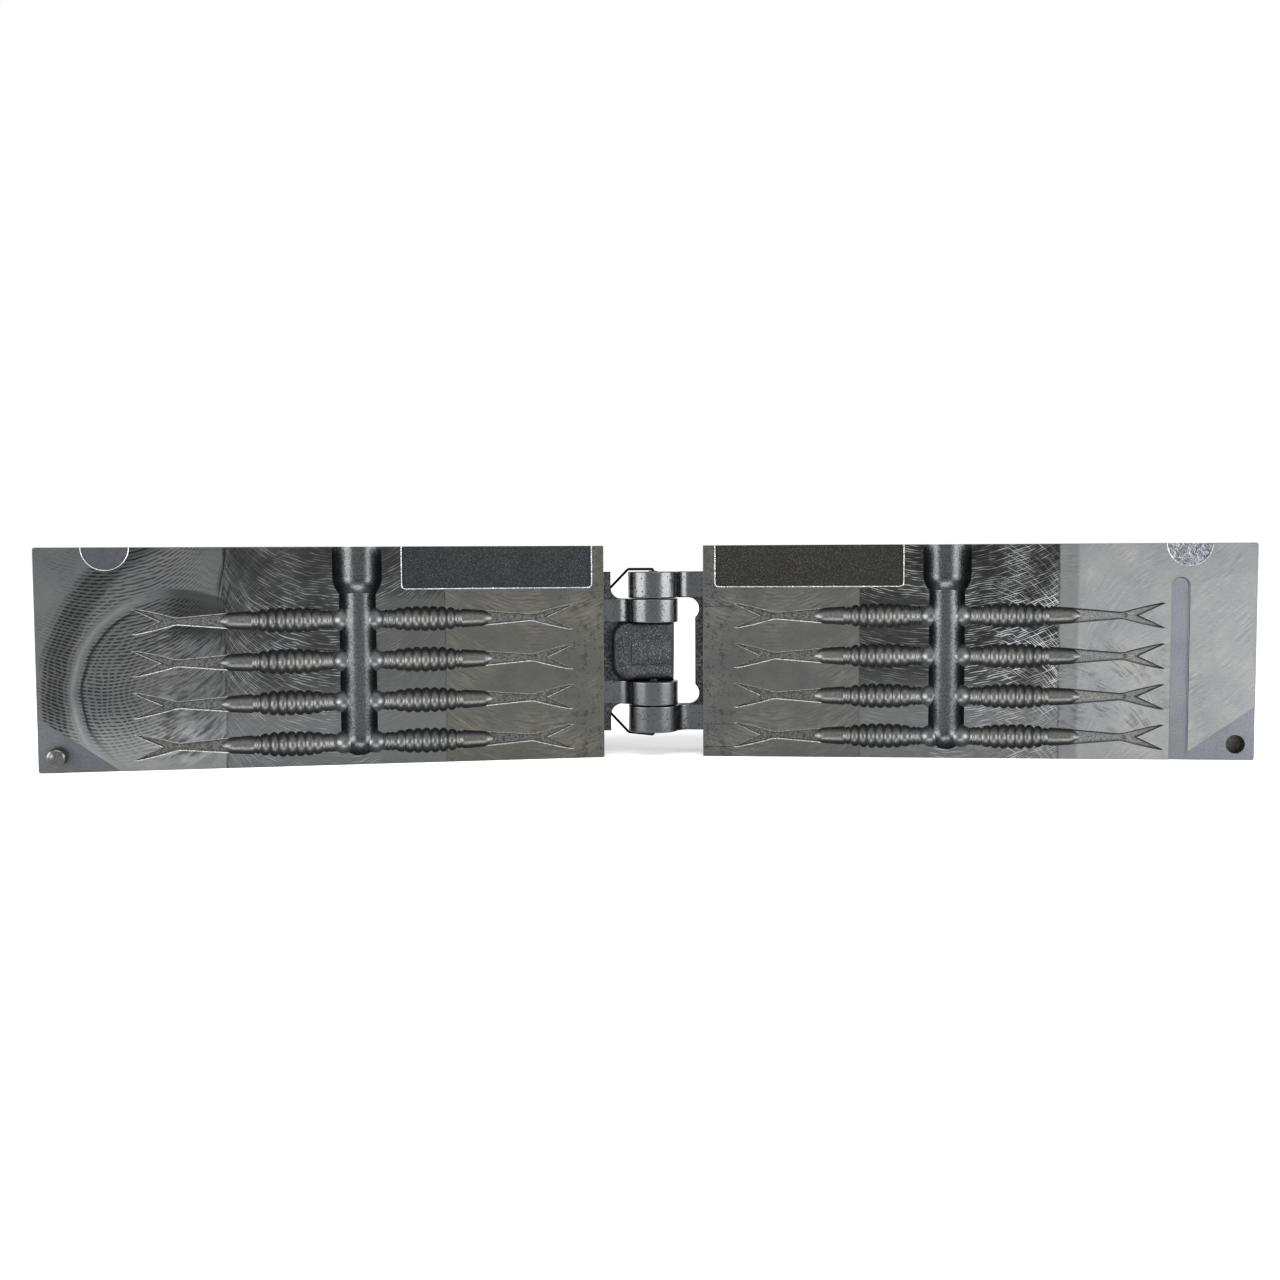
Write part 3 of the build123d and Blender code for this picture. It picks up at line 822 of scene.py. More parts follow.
def settle(piece: bpy.types.Object) -> None:
    """Replace an object's mesh by what its modifiers make of it."""
    bpy.context.view_layer.update()
    graph = bpy.context.evaluated_depsgraph_get()
    made = bpy.data.meshes.new_from_object(piece.evaluated_get(graph), depsgraph=graph)
    piece.modifiers.clear()
    piece.data = made


def shade(piece: bpy.types.Object, angle: float, flat: tuple[str, ...] = ()) -> None:
    """Shade smooth, with edges sharper than an angle in degrees kept sharp, and named finishes kept flat."""
    mesh = piece.data
    mesh.set_sharp_from_angle(angle=math.radians(angle))
    level = [number for number, material in enumerate(mesh.materials) if material.name.endswith(flat)]
    finish = np.empty(len(mesh.polygons), int)
    mesh.polygons.foreach_get("material_index", finish)
    mesh.polygons.foreach_set("use_smooth", ~np.isin(finish, level))


def join_shells(piece: bpy.types.Object, tools: list[bpy.types.Object], operation: str) -> None:
    """Join tools to a piece or cut them from it, each tool's finish staying on the faces that it leaves."""
    for tool in tools:
        modifier = piece.modifiers.new(tool.name, "BOOLEAN")
        modifier.object = tool
        modifier.operation = operation
        modifier.solver = "MANIFOLD"
        modifier.material_mode = "TRANSFER"
    settle(piece)
    for tool in tools:
        bpy.data.objects.remove(tool)


@dataclass(frozen=True)
class LureShape:
    """One lure, round about its own axis, and its ball-ended gate; distances run from the runner's centre."""

    gate_centre: float = 5.2
    gate_radius: float = 3.85
    gate_sink: float = 1.3
    neck_start: float = 6.0
    neck_radius: float = 2.75
    rib_first: float = 13.9
    rib_pitch: float = 2.97
    rib_count: int = 7
    crest_radius: float = 4.2
    end_shrink: float = 0.55
    groove_depth: float = 0.8
    waist_radius: float = 2.55
    small_rib_radius: float = 3.0
    small_rib_length: float = 1.6
    shoulder_length: float = 0.8
    smooth_start: float = 3.1
    smooth_end: float = 2.7
    body_end: float = 46.0
    end_length: float = 4.4
    end_radius: float = 0.75
    lip: float = 0.16
    neck_ribs: Pair = (9.6, 11.15)
    neck_rib_rise: float = 0.34
    neck_rib_width: float = 0.42
    plain_start: float = 33.21
    neck_step: float = 0.22
    plain_step: float = 0.3
    stations_per_rib: int = 10

    def radius(self, distance: np.ndarray) -> np.ndarray:
        """Radius along the lure.

        The body runs straight between its valleys, and each rib adds a rounded lobe to it, one minus the
        2.4th power of the distance from the rib's middle over half a pitch. The end falls away with the
        2.3rd power of the distance along it.
        """
        ribs = np.arange(self.rib_count)
        middle = (self.rib_count - 1) / 2
        crests = self.crest_radius - self.end_shrink * np.abs((ribs - middle) / middle) ** 3
        centres = self.rib_first + self.rib_pitch * ribs
        valleys = centres - self.rib_pitch / 2
        small_start = valleys[-1] + self.rib_pitch
        small_end = small_start + self.small_rib_length
        shoulder = small_end + self.shoulder_length
        taper = self.body_end - self.end_length
        at = [self.neck_start, *valleys, small_start, small_end, shoulder, taper]
        base = [self.neck_radius, *(crests - self.groove_depth), self.waist_radius, self.waist_radius]
        base += [self.smooth_start, self.smooth_end]
        radius = np.interp(distance, at, base)
        for centre, crest in zip(centres, crests):
            off = np.abs(distance - centre) / (self.rib_pitch / 2)
            lobe = np.clip(1 - off**2.4, 0, None)
            radius += lobe * (crest - np.interp(centre, at, base))
        off = np.abs(distance - (small_start + small_end) / 2) / (self.small_rib_length / 2)
        radius += np.clip(1 - off**2, 0, None) * (self.small_rib_radius - self.waist_radius)
        for neck_rib in self.neck_ribs:
            radius += self.neck_rib_rise * np.exp(-(((distance - neck_rib) / self.neck_rib_width) ** 2))
        over = np.clip((distance - taper) / self.end_length, 0, 1)
        radius -= (self.smooth_end - self.end_radius) * over**2.3
        return radius

    def gate(self, centre: Pair, relief: float, roof: float) -> Shell:
        """Ball-ended pocket sunk square into the face: a circle goes straight down, then draws in as a
        quarter circle, its depth by the sine and its inset by one minus the cosine.

        Args:
            centre: place of the pocket as (u, z).
            relief: depth at which the shown face lies.
            roof: height of the cutter above the parting plane.

        Returns:
            The closed shell.
        """
        turn = np.radians(np.linspace(6.0, 86.0, 13))
        deep = self.gate_sink + self.gate_radius * np.sin(turn)
        drawn = self.gate_radius * (1 - np.cos(turn))
        levels = [(-roof, -self.lip), (relief, -self.lip), (relief + 0.2, 0.0), (self.gate_sink, 0.0)]
        levels += list(zip(deep.tolist(), drawn.tolist()))
        return stacked(arc(centre, self.gate_radius, 0, 352.5, 48), levels, Axis.DEPTH)

    def stations(self) -> np.ndarray:
        """Distances at which the lure is cut, closer over the ribs and the tapered end."""
        neck = np.arange(self.neck_start, self.rib_first - self.rib_pitch / 2, self.neck_step)
        pitches = np.arange(self.rib_count * self.stations_per_rib) / self.stations_per_rib
        ribs = self.rib_first + self.rib_pitch * (pitches - 0.5)
        rest = np.arange(self.plain_start, self.body_end - self.end_length, self.plain_step)
        taper = self.body_end - self.end_length * np.linspace(1, 0, 16)
        return np.unique(np.round(np.concatenate([neck, ribs, rest, taper]), 4))


def gutter(place: np.ndarray, radius: np.ndarray, lip: float, steps: int, roof: float) -> np.ndarray:
    """Half-round gutter below the parting plane with flared lips, closed by a roof above it.

    Each section is radius times (cosine, sine), pushed out by the lip times the falling exponential of the
    depth over the lip, so that the edge is rounded; two roof points close the ring above the face.

    Args:
        place: distance of each section along the gutter.
        radius: radius of each section.
        lip: flare at the parting plane.
        steps: points across a section.
        roof: height of the roof above the parting plane.

    Returns:
        Array of shape (sections, steps + 2, 3) as (place, depth, across).
    """
    angle = np.linspace(0, np.pi, steps)
    depth = radius[:, None] * np.sin(angle)
    across = radius[:, None] * np.cos(angle)
    across = across + np.sign(np.cos(angle)) * lip * np.exp(-depth / lip)
    wide = radius + lip
    depth = np.concatenate([depth, np.full((len(radius), 2), -roof)], axis=1)
    across = np.concatenate([across, -wide[:, None], wide[:, None]], axis=1)
    along = np.repeat(place[:, None], steps + 2, axis=1)
    return np.stack([along, depth, across], axis=-1)


@dataclass(frozen=True)
class TailShape:
    """Flat tail of a lure: a wedge and two bowed prongs, with a dimple where they part."""

    start: float = 41.0
    start_half: float = 2.6
    end: float = 59.2
    end_half: float = 1.05
    root: float = 60.6
    root_half: float = 1.2
    apex: float = 64.8
    tip: float = 73.9
    spread: float = 4.2
    tip_width: float = 0.8
    bow: float = 0.15
    depth: float = 0.9
    lip: float = 0.26
    dimple_at: float = 61.0
    dimple_radius: float = 0.9
    dimple_depth: float = 1.3
    dimple_lip: float = 0.06
    draft: float = 0.3

    def outline(self) -> np.ndarray:
        """Counter-clockwise outline: the upper side's bow is a parabola through its middle, then mirrored."""
        share = np.linspace(0, 1, 9)
        first = np.array([self.root, self.root_half])
        last = np.array([self.tip - self.tip_width, self.spread])
        bow = first + np.outer(share, last - first)
        bow[:, 1] += 4 * self.bow * share * (1 - share)
        wedge = [[self.start, self.start_half], [self.end, self.end_half]]
        upper = np.concatenate([wedge, bow, [[self.tip, self.spread]]])
        lower = upper[::-1] * np.array([1, -1])
        return np.concatenate([upper, [[self.apex, 0.0]], lower])[::-1]


@dataclass(frozen=True)
class CastMarks:
    """The face's sunk areas and holes; insets run in from its outer end, heights up from its lower edge."""

    panel_start: float = 22.1
    panel_end: float = 87.8
    panel_height: float = 14.5
    panel_corner: float = 1.2
    disc_inset: float = 22.7
    disc_radius: float = 7.6
    pad_length: float = 26.4
    pad_height: float = 18.7
    slot_inset: float = 25.6
    slot_top: float = 60.2
    slot_radius: float = 3.1
    locator_inset: float = 6.3
    locator_height: float = 5.5
    hole_radius: float = 3.275
    hole_depth: float = 5.2
    seat_radius: float = 3.175
    seat_depth: float = 7.98
    over: float = 3.0


@dataclass(frozen=True)
class BossShape:
    """The rough boss between the left half's knuckles, and the blank pad that is raised on it."""

    reach: float = 7.4
    outer: float = 14.4
    corner: float = 5.4
    front: float = 2.9
    dish: float = 0.7
    edge_round: float = 1.7
    extra_round: float = 1.5
    point_spacing: float = 0.9
    pad_centre: float = 1.05
    pad_length: float = 14.8
    pad_height: float = 9.2
    pad_corner: float = 0.6
    pad_rise: float = 0.25
    pad_draft: float = 0.3
    pad_edge: float = 0.16


@dataclass
class Half:
    """One casting of the mould with its milled face, cavities, cast marks and hinge knuckles."""

    stance: Stance
    node: str
    body: str
    length: float = 190.0
    height: float = 75.0
    thickness: float = 12.7
    face_start: float = 17.7
    relief: float = 0.02
    back_chamfer: float = 1.2
    corner_round: float = 0.8
    inner_round: float = 0.25
    edge_break: float = 0.18
    runner_inset: float = 85.2
    runner_radius: float = 6.0
    runner_bottom: float = 3.2
    sprue_radius: float = 8.15
    sprue_depth: float = 10.2
    throat_length: float = 5.9
    sprue_middle: float = 70.0
    feed_lip: float = 0.2
    rows: tuple[float, ...] = (7.8, 21.9, 36.0, 50.1)
    roof: float = 1.0
    knuckle_radius: float = 8.85
    knuckle_edge: float = 0.3
    flange_edge: float = 14.8
    flange_front: float = 2.5
    flange_back: float = 7.0
    flange_break: float = 0.25
    web_start: float = 5.0
    wing_start: float = 9.0
    notch_shift: float = 1.4
    span: float = 28.3
    outer_low: float = 19.05
    inner_high: float = 18.75
    inner_low: float = 10.4
    notch: float = 4.0
    arm_blend: float = 5.0
    bore: float = 1.65
    nick_count: int = 12
    lure: LureShape = field(default_factory=LureShape)
    tail: TailShape = field(default_factory=TailShape)
    cast: CastMarks = field(default_factory=CastMarks)
    boss_shape: BossShape = field(default_factory=BossShape)

    @property
    def face_end(self) -> float:
        """Outer end of the face."""
        return self.face_start + self.length

    @property
    def runner(self) -> float:
        """Place of the runner's centre."""
        return self.face_start + self.runner_inset

    @property
    def middle(self) -> float:
        """Mid height."""
        return self.height / 2

    def finishes(self) -> dict[str, bpy.types.Material]:
        """Every finish of this half, by the surface that it is for."""
        side = self.stance.side
        made = {"face": FACES[side]} | SKINS | SIDE_SKINS[side]
        prefix = side.name.lower() + "_"
        return {name: finish.build(prefix + name, self.stance) for name, finish in made.items()}

    def shell(self, name: str, shell: Shell, finish: str) -> bpy.types.Object:
        """A placed shell of one finish."""
        return place_shell(name, shell, self.stance, [self.finish[finish]])

    def block(self) -> bpy.types.Object:
        """The plate: rectangles at rising depths, each drawn in by its own broken edge or back chamfer."""
        levels = [
            (self.relief, (self.edge_break,) * 4),
            (self.relief + self.edge_break, (0.0,) * 4),
            (self.thickness - self.back_chamfer, (0.0,) * 4),
            (self.thickness, (self.back_chamfer, self.back_chamfer, self.back_chamfer, 0.0)),
        ]
        rings = []
        for depth, (inner, outer, top, bottom) in levels:
            low = (self.face_start + inner, bottom)
            high = (self.face_end - outer, self.height - top)
            radii = (self.inner_round, self.corner_round, self.corner_round, self.inner_round)
            outline = round_rectangle(low, high, radii)
            u, z = outline.T
            rings.append(np.stack([u, np.full(len(u), depth), z], axis=1))
        shell = ringed(np.array(rings))
        shell.finishes = [1] * (len(shell.faces) - 2) + [0, 2]
        materials = [self.finish[name] for name in ("face", "sides", "back")]
        return place_shell(self.node + "_shown", shell, self.stance, materials)

    def feed(self) -> bpy.types.Object:
        """Sprue, throat and runner: an upright gutter whose radius eases from the sprue's to the runner's."""
        throat_top = self.height - self.sprue_depth
        throat_end = throat_top - self.throat_length
        end_round = self.runner_radius
        bottom = self.runner_bottom + end_round * (1 - np.cos(np.linspace(0.12, np.pi / 2, 14)))
        throat = np.linspace(throat_end, throat_top, 14)
        straight = np.linspace(bottom[-1] + 2, throat_end - 0.4, 30)
        place = np.concatenate([bottom, straight, throat, [self.sprue_middle, self.height + self.roof]])
        share = np.clip((place - throat_end) / self.throat_length, 0, 1)
        radius = self.runner_radius + (self.sprue_radius - self.runner_radius) * (1 - (1 - share) ** 2.2)
        under = np.clip((self.runner_bottom + end_round - place) / end_round, 0, 1)
        radius -= end_round * (1 - np.sqrt(1 - under**2))
        rings = gutter(place, radius, self.feed_lip, 25, self.roof)
        along, depth, across = rings[..., 0], rings[..., 1], rings[..., 2]
        flat = np.stack([self.runner + across, depth, along], axis=-1)
        return self.shell("feed", ringed(flat), "feed")

    def lures(self) -> list[bpy.types.Object]:
        """Cutters for the eight lures, each a gutter along the row, and for their tails and dimples."""
        lure, tail = self.lure, self.tail
        place = lure.stations()
        rings = gutter(place, lure.radius(place), lure.lip, 17, self.roof)
        outline = tail.outline()
        tools = []
        for row, height in enumerate(self.rows):
            for outward in (1, -1):
                name = f"row{row}_{'out' if outward > 0 else 'in'}"
                flat = rings * np.array([outward, 1, 1]) + np.array([self.runner, 0, height])
                tools.append(self.shell(name + "_lure", ringed(flat), "cavity"))
                placed = outline * np.array([outward, 1]) + np.array([self.runner, height])
                if outward < 0:
                    placed = placed[::-1]
                finish = "tail_out" if outward > 0 else "tail"
                tools.append(self.sunk(name + "_tail", placed, tail.depth, finish, tail.lip, tail.draft))
                gate = lure.gate((self.runner + outward * lure.gate_centre, height), self.relief, self.roof)
                tools.append(self.shell(name + "_gate", gate, "gate"))
                centre = (self.runner + outward * tail.dimple_at, height)
                dimple = arc(centre, tail.dimple_radius, 0, 337.5, 16)
                sizes = (tail.dimple_depth, "tail", tail.dimple_lip, tail.draft)
                tools.append(self.sunk(name + "_dimple", dimple, *sizes))
        return tools

    def sunk(
        self, name: str, outline: np.ndarray, depth: float, finish: str, lip: float, draft: float
    ) -> bpy.types.Object:
        """Cutter that sinks a counter-clockwise outline into the face.

        Args:
            name: the cutter's name.
            outline: array of shape (n, 2) as (u, z).
            depth: how deep the floor lies.
            finish: the finish left on the walls and the floor.
            lip: how much wider it is at the face.
            draft: how much narrower it is at the floor.

        Returns:
            The cutter.
        """
        floor = self.relief + depth
        wall_top = self.relief + min(0.6 * lip, depth / 3)
        levels = [(-self.roof, -lip), (self.relief, -lip), (wall_top, draft * 0.2)]
        levels += [(floor - draft * 0.5, draft * 0.5), (floor, draft)]
        return self.shell(name, stacked(outline, levels, Axis.DEPTH), finish)

    def marks(self) -> list[bpy.types.Object]:
        """Cutters for the sunk as-cast areas and the holes."""
        cast, end, over = self.cast, self.face_end, self.cast.over
        low = (cast.panel_start, self.height - cast.panel_height)
        radii = (cast.panel_corner, cast.panel_corner, 0.0, 0.0)
        panel = round_rectangle(low, (cast.panel_end, self.height + over), radii)
        disc = arc((end - cast.disc_inset, self.height), cast.disc_radius, 0, 354, 60)
        rise = over * cast.pad_height / cast.pad_length
        inner, outer = end - cast.pad_length - over, end + over
        pad = np.array([[inner, -rise], [outer, -rise], [outer, cast.pad_height + rise]])
        tools = [
            self.sunk("panel", panel, 0.7, "panel", 0.3, 0.2),
            self.sunk("disc", disc, 0.5, "disc", 0.2, 0.15),
            self.sunk("pad", pad, 0.4, "pad", 0.05, 0.1),
        ]
        centre = (end - cast.locator_inset, cast.locator_height)
        if self.stance.side is Side.RIGHT:
            slot_u = end - cast.slot_inset
            top = arc((slot_u, cast.slot_top), cast.slot_radius, 0, 180, 17)
            foot = [[slot_u - cast.slot_radius, -over], [slot_u + cast.slot_radius, -over]]
            tools.append(self.sunk("slot", np.concatenate([top, foot]), 0.6, "pad", 0.1, 0.15))
            hole = arc(centre, cast.hole_radius, 0, 352.5, 48)
            tools.append(self.sunk("locator_hole", hole, cast.hole_depth, "hole", 0.3, 0.1))
        else:
            seat = arc(centre, cast.seat_radius, 0, 352.5, 48)
            tools.append(self.sunk("locator_seat", seat, cast.seat_depth, "hole", 0.12, 0.0))
        bore = arc((0.0, 0.0), self.bore, 0, 345, 24)
        drill = stacked(bore, [(-5.0, 0.0), (self.height + 5, 0.0)], Axis.HEIGHT)
        tools.append(self.shell("bore", drill, "hole"))
        return tools

    def knuckle(self, name: str, low: float, high: float) -> bpy.types.Object:
        """One knuckle: a circle about the pin, an arm to the plate and a hollow fillet between them."""
        radius, blend = self.knuckle_radius, self.arm_blend
        hollow_d = self.flange_front - blend
        hollow_u = math.sqrt((radius + blend) ** 2 - hollow_d**2)
        touch = math.degrees(math.atan2(hollow_d, hollow_u))
        back = math.degrees(math.asin(self.flange_back / radius))
        end = self.face_start + 1.0
        round_part = arc((0.0, 0.0), radius, back, 360 + touch, 64)
        fillet = arc((hollow_u, hollow_d), blend, 180 + touch, 90, 9)
        outline = np.concatenate([round_part, fillet, [[end, self.flange_front], [end, self.flange_back]]])
        edge = self.knuckle_edge
        drawn = [(0.0, edge), (edge * 0.4, edge * 0.35), (edge, 0.0), (edge * 1.5, 0.0)]
        levels = [(self.middle + low + inward, amount) for inward, amount in drawn]
        levels += [(self.middle + high - inward, amount) for inward, amount in reversed(drawn)]
        return self.shell(name, stacked(outline, levels, Axis.HEIGHT), "knuckle")

    def web(self, name: str, outline: np.ndarray, edge: float) -> bpy.types.Object:
        """A flat part of the flange between its front and back depths, with its edges broken."""
        front, back = self.flange_front, self.flange_back
        levels = [(front, edge), (front + edge, 0.0), (back - edge, 0.0), (back, edge)]
        return self.shell(name, stacked(outline, levels, Axis.DEPTH), "flange")

    def flange(self) -> bpy.types.Object:
        """Flange strip: on the left half it widens into the boss's web through round notches, and on the
        right half round reliefs face the other half's knuckles."""
        low, high, end = self.middle - self.span, self.middle + self.span, self.face_start + 1.0
        edge = self.flange_edge
        if self.stance.side is Side.LEFT:
            near = self.inner_high + self.notch
            upper = arc((edge - self.notch, self.middle + near), self.notch, 0, -90, 9)
            lower = arc((edge - self.notch, self.middle - near), self.notch, 90, 0, 9)
            tall = self.inner_high - self.knuckle_edge
            inner = [[self.web_start, self.middle + tall], [self.web_start, self.middle - tall]]
            strip = [[end, low], [end, high], [edge, high]]
            outline = np.concatenate([strip, upper, inner, lower, [[edge, low]]])
        else:
            centre_u = edge + self.notch_shift - self.notch
            centre_z = self.outer_low - self.notch
            turn = math.degrees(math.acos((edge - centre_u) / self.notch))
            upper = arc((centre_u, self.middle + centre_z), self.notch, 90, -turn, 14)
            lower = arc((centre_u, self.middle - centre_z), self.notch, turn, -90, 14)
            wing = self.wing_start
            above = [[end, low], [end, high], [wing, high], [wing, self.middle + self.outer_low]]
            below = [[wing, self.middle - self.outer_low], [wing, low]]
            outline = np.concatenate([above, upper, lower, below])
        return self.web(self.node + "_flange", outline, self.flange_break)

    def boss(self) -> list[bpy.types.Object]:
        """The rough boss between the left half's knuckles, dished in front, and its raised blank pad.

        Its rings are the outline at rising shares of its size; the front lies on a shallow hollow across the
        height, falls away as a quarter circle near the edge, and never stands outside the round nose.
        """
        shape, half = self.boss_shape, self.inner_low
        low, high = (-shape.reach, self.middle - half), (shape.outer, self.middle + half)
        outline = round_rectangle(low, high, (0.0, shape.corner, shape.corner, 0.0))
        dense = [outline[:1]]
        for here, after in zip(outline, np.roll(outline, -1, axis=0)):
            steps = max(1, int(np.linalg.norm(after - here) / shape.point_spacing))
            dense.append(here + np.outer(np.arange(1, steps + 1) / steps, after - here))
        outline = np.concatenate(dense)[:-1]
        centre = np.array([(shape.outer - shape.reach) / 2, self.middle])
        rings = []
        for depth in (self.flange_back, 3.0, 0.5):
            rings.append(self.nosed(outline, np.full(len(outline), depth), shape.reach))
        for share in (0.0, 0.02, 0.08, 0.2, 0.4, 0.7, 1.0, 2.0, 3.5, 5.0, 6.5, 8.0, 9.2):
            ring = centre + (outline - centre) * (1 - share / half)
            lowness = np.clip((self.middle - ring[:, 1]) / half, 0, 1)
            edge = shape.edge_round + shape.extra_round * lowness**2
            over = np.clip(1 - share / edge, 0, 1)
            hollow = shape.dish * (1 - ((ring[:, 1] - self.middle) / half) ** 2)
            depth = -shape.front + hollow + edge * (1 - np.sqrt(1 - over**2))
            rings.append(self.nosed(ring, depth, shape.reach))
        body = self.shell("boss", ringed(np.array(rings)), "boss")
        long, tall = shape.pad_length / 2, shape.pad_height / 2
        low = (shape.pad_centre - long, self.middle - tall)
        high = (shape.pad_centre + long, self.middle + tall)
        pad = round_rectangle(low, high, (shape.pad_corner,) * 4)
        raised = shape.dish - shape.front - shape.pad_rise
        levels = [(raised, shape.pad_draft), (raised + shape.pad_edge, 0.0), (0.0, 0.0)]
        pad_shell = stacked(pad, levels, Axis.DEPTH)
        pad_shell.finishes = [1] * (len(pad_shell.faces) - 2) + [0, 0]
        # The pad's walls take the near-black groove skin, painted shade that draws its frame line.
        framed = [self.finish["boss"], self.finish["groove"]]
        return [body, place_shell("boss_pad", pad_shell, self.stance, framed)]

    def nosed(self, ring: np.ndarray, depth: np.ndarray, reach: float) -> np.ndarray:
        """Ring of the boss, its depths kept inside the circle of its nose where it lies beyond the pin."""
        u, z = ring.T
        circle = np.sqrt(np.clip((reach + 0.02) ** 2 - np.minimum(u, 0.0) ** 2, 0.0, None))
        return np.stack([u, np.clip(depth, -circle, np.where(u < 0, circle, depth)), z], axis=1)

    def nicks(self) -> list[bpy.types.Object]:
        """Small dents along the face's edges: flat balls that bite the corner between face and side."""
        seed = 5 if self.stance.side is Side.LEFT else 9
        random = np.random.default_rng(seed)
        turn = np.linspace(3.0, 0.14, 8)
        profile = np.stack([np.cos(turn), np.sin(turn)], axis=1)
        tools = []
        for number in range(self.nick_count):
            along = self.face_start + random.uniform(0.04, 0.98) * self.length
            size = random.uniform(0.25, 0.6)
            edge = 0.0 if number % 3 else self.height
            rings = turned(profile, 10) * np.array([size * 1.8, size * 0.7, size * 0.6])
            tools.append(self.shell(f"nick{number}", ringed(rings + np.array([along, 0.0, edge])), "sides"))
        return tools

    def make(self) -> bpy.types.Object:
        """Build the casting, cut it, dress it and tie it to its body."""
        self.finish = self.finishes()
        casting = self.block()
        left = self.stance.side is Side.LEFT
        low, high = (self.inner_low, self.inner_high) if left else (self.outer_low, self.span)
        parts = [self.flange()] + (self.boss() if left else [])
        parts += [self.knuckle("upper_knuckle", low, high), self.knuckle("lower_knuckle", -high, -low)]
        join_shells(casting, parts, "UNION")
        cutters = [self.feed()] + self.lures() + self.marks() + self.nicks()
        join_shells(casting, cutters, "DIFFERENCE")
        shade(casting, angle=32.0, flat=("_face", "_back"))
        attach(casting, self.body)
        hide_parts(self.node)
        return casting


@dataclass
class HingePin:
    """The straight steel pin, with a blind hole in each end for the clip's stubs."""

    stance: Stance
    radius: float = 1.6
    half_length: float = 28.6
    middle: float = 37.5
    hole: float = 0.52
    hole_depth: float = 1.56
    chamfer: float = 0.25

    def make(self) -> bpy.types.Object:
        """Turn the pin's profile, from one hole's floor over the outside to the other's, about the axis."""
        end, deep = self.half_length, self.half_length - self.hole_depth
        upper = [(end - self.chamfer, self.radius), (end, self.radius - self.chamfer)]
        upper += [(end, self.hole), (deep, self.hole), (deep, 0.02)]
        lower = [(-place, radius) for place, radius in reversed(upper)]
        profile = np.array(lower + upper)
        rings = turned(profile, 40)
        flat = np.stack([rings[..., 1], rings[..., 2], self.middle + rings[..., 0]], axis=-1)
        finish = PIN_STEEL.build("pin_steel", self.stance)
        piece = place_shell("hinge_pin_shown", ringed(flat), self.stance, [finish])
        shade(piece, angle=30.0)
        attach(piece, "left_half")
        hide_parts("hinge_pin")
        return piece


@dataclass
class PinClip:
    """Black wire bail that keeps the hinge pin in: stubs in the pin's ends, run round behind the flange."""

    stance: Stance
    radius: float = 0.46
    top: float = 29.18
    stub_end: float = 27.1
    straight: float = 9.2
    back_u: float = 16.0
    back_d: float = 7.71
    bend: float = 1.4
    stub_bend: float = 0.5
    sag: float = 0.6
    middle: float = 37.5
    sides: int = 14

    def route(self) -> np.ndarray:
        """Points of the bail in its own plane as (out from the hinge, up), with every corner an arc."""
        back = math.hypot(self.back_u, self.back_d)
        shoulder = self.top - (back - self.straight)
        upper = [(0.0, self.stub_end), (0.0, self.top), (self.straight, self.top), (back, shoulder)]
        corners = np.array(upper + [(x, -y) for x, y in reversed(upper)])
        corners[-2, 1] -= self.sag
        points = [corners[:1]]
        for number in range(1, len(corners) - 1):
            before, here, after = corners[number - 1 : number + 2]
            radius = self.stub_bend if number in (1, len(corners) - 2) else self.bend
            one = (before - here) / np.linalg.norm(before - here)
            two = (after - here) / np.linalg.norm(after - here)
            half = math.acos(float(np.clip(one @ two, -1, 1))) / 2
            centre = here + (one + two) / np.linalg.norm(one + two) * radius / math.sin(half)
            start, end = here + one * radius / math.tan(half), here + two * radius / math.tan(half)
            share = np.linspace(0, 1, 9)[:, None]
            chord = start - centre + share * (end - start)
            points.append(centre + chord / np.linalg.norm(chord, axis=1, keepdims=True) * radius)
        return np.concatenate(points + [corners[-1:]])

    def make(self) -> bpy.types.Object:
        """Carry a circle along the route: each point is the centre plus the radius times cosine along the
        route's normal and sine across its plane."""
        path = self.route()
        ahead = np.gradient(path, axis=0)
        ahead /= np.linalg.norm(ahead, axis=1, keepdims=True)
        normal = np.stack([-ahead[:, 1], ahead[:, 0]], axis=1)
        angle = np.arange(self.sides) / self.sides * 2 * np.pi
        flat = path[:, None, :] + self.radius * np.cos(angle)[None, :, None] * normal[:, None, :]
        off = np.broadcast_to(self.radius * np.sin(angle), flat.shape[:2])
        drop = math.atan2(self.back_d, self.back_u)
        u = flat[..., 0] * math.cos(drop) - off * math.sin(drop)
        d = flat[..., 0] * math.sin(drop) + off * math.cos(drop)
        rings = np.stack([u, d, self.middle + flat[..., 1]], axis=-1)
        finish = BLACK_WIRE.build("black_wire", self.stance)
        piece = place_shell("pin_clip_shown", ringed(rings), self.stance, [finish])
        shade(piece, angle=40.0)
        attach(piece, "left_half")
        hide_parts("pin_clip")
        return piece


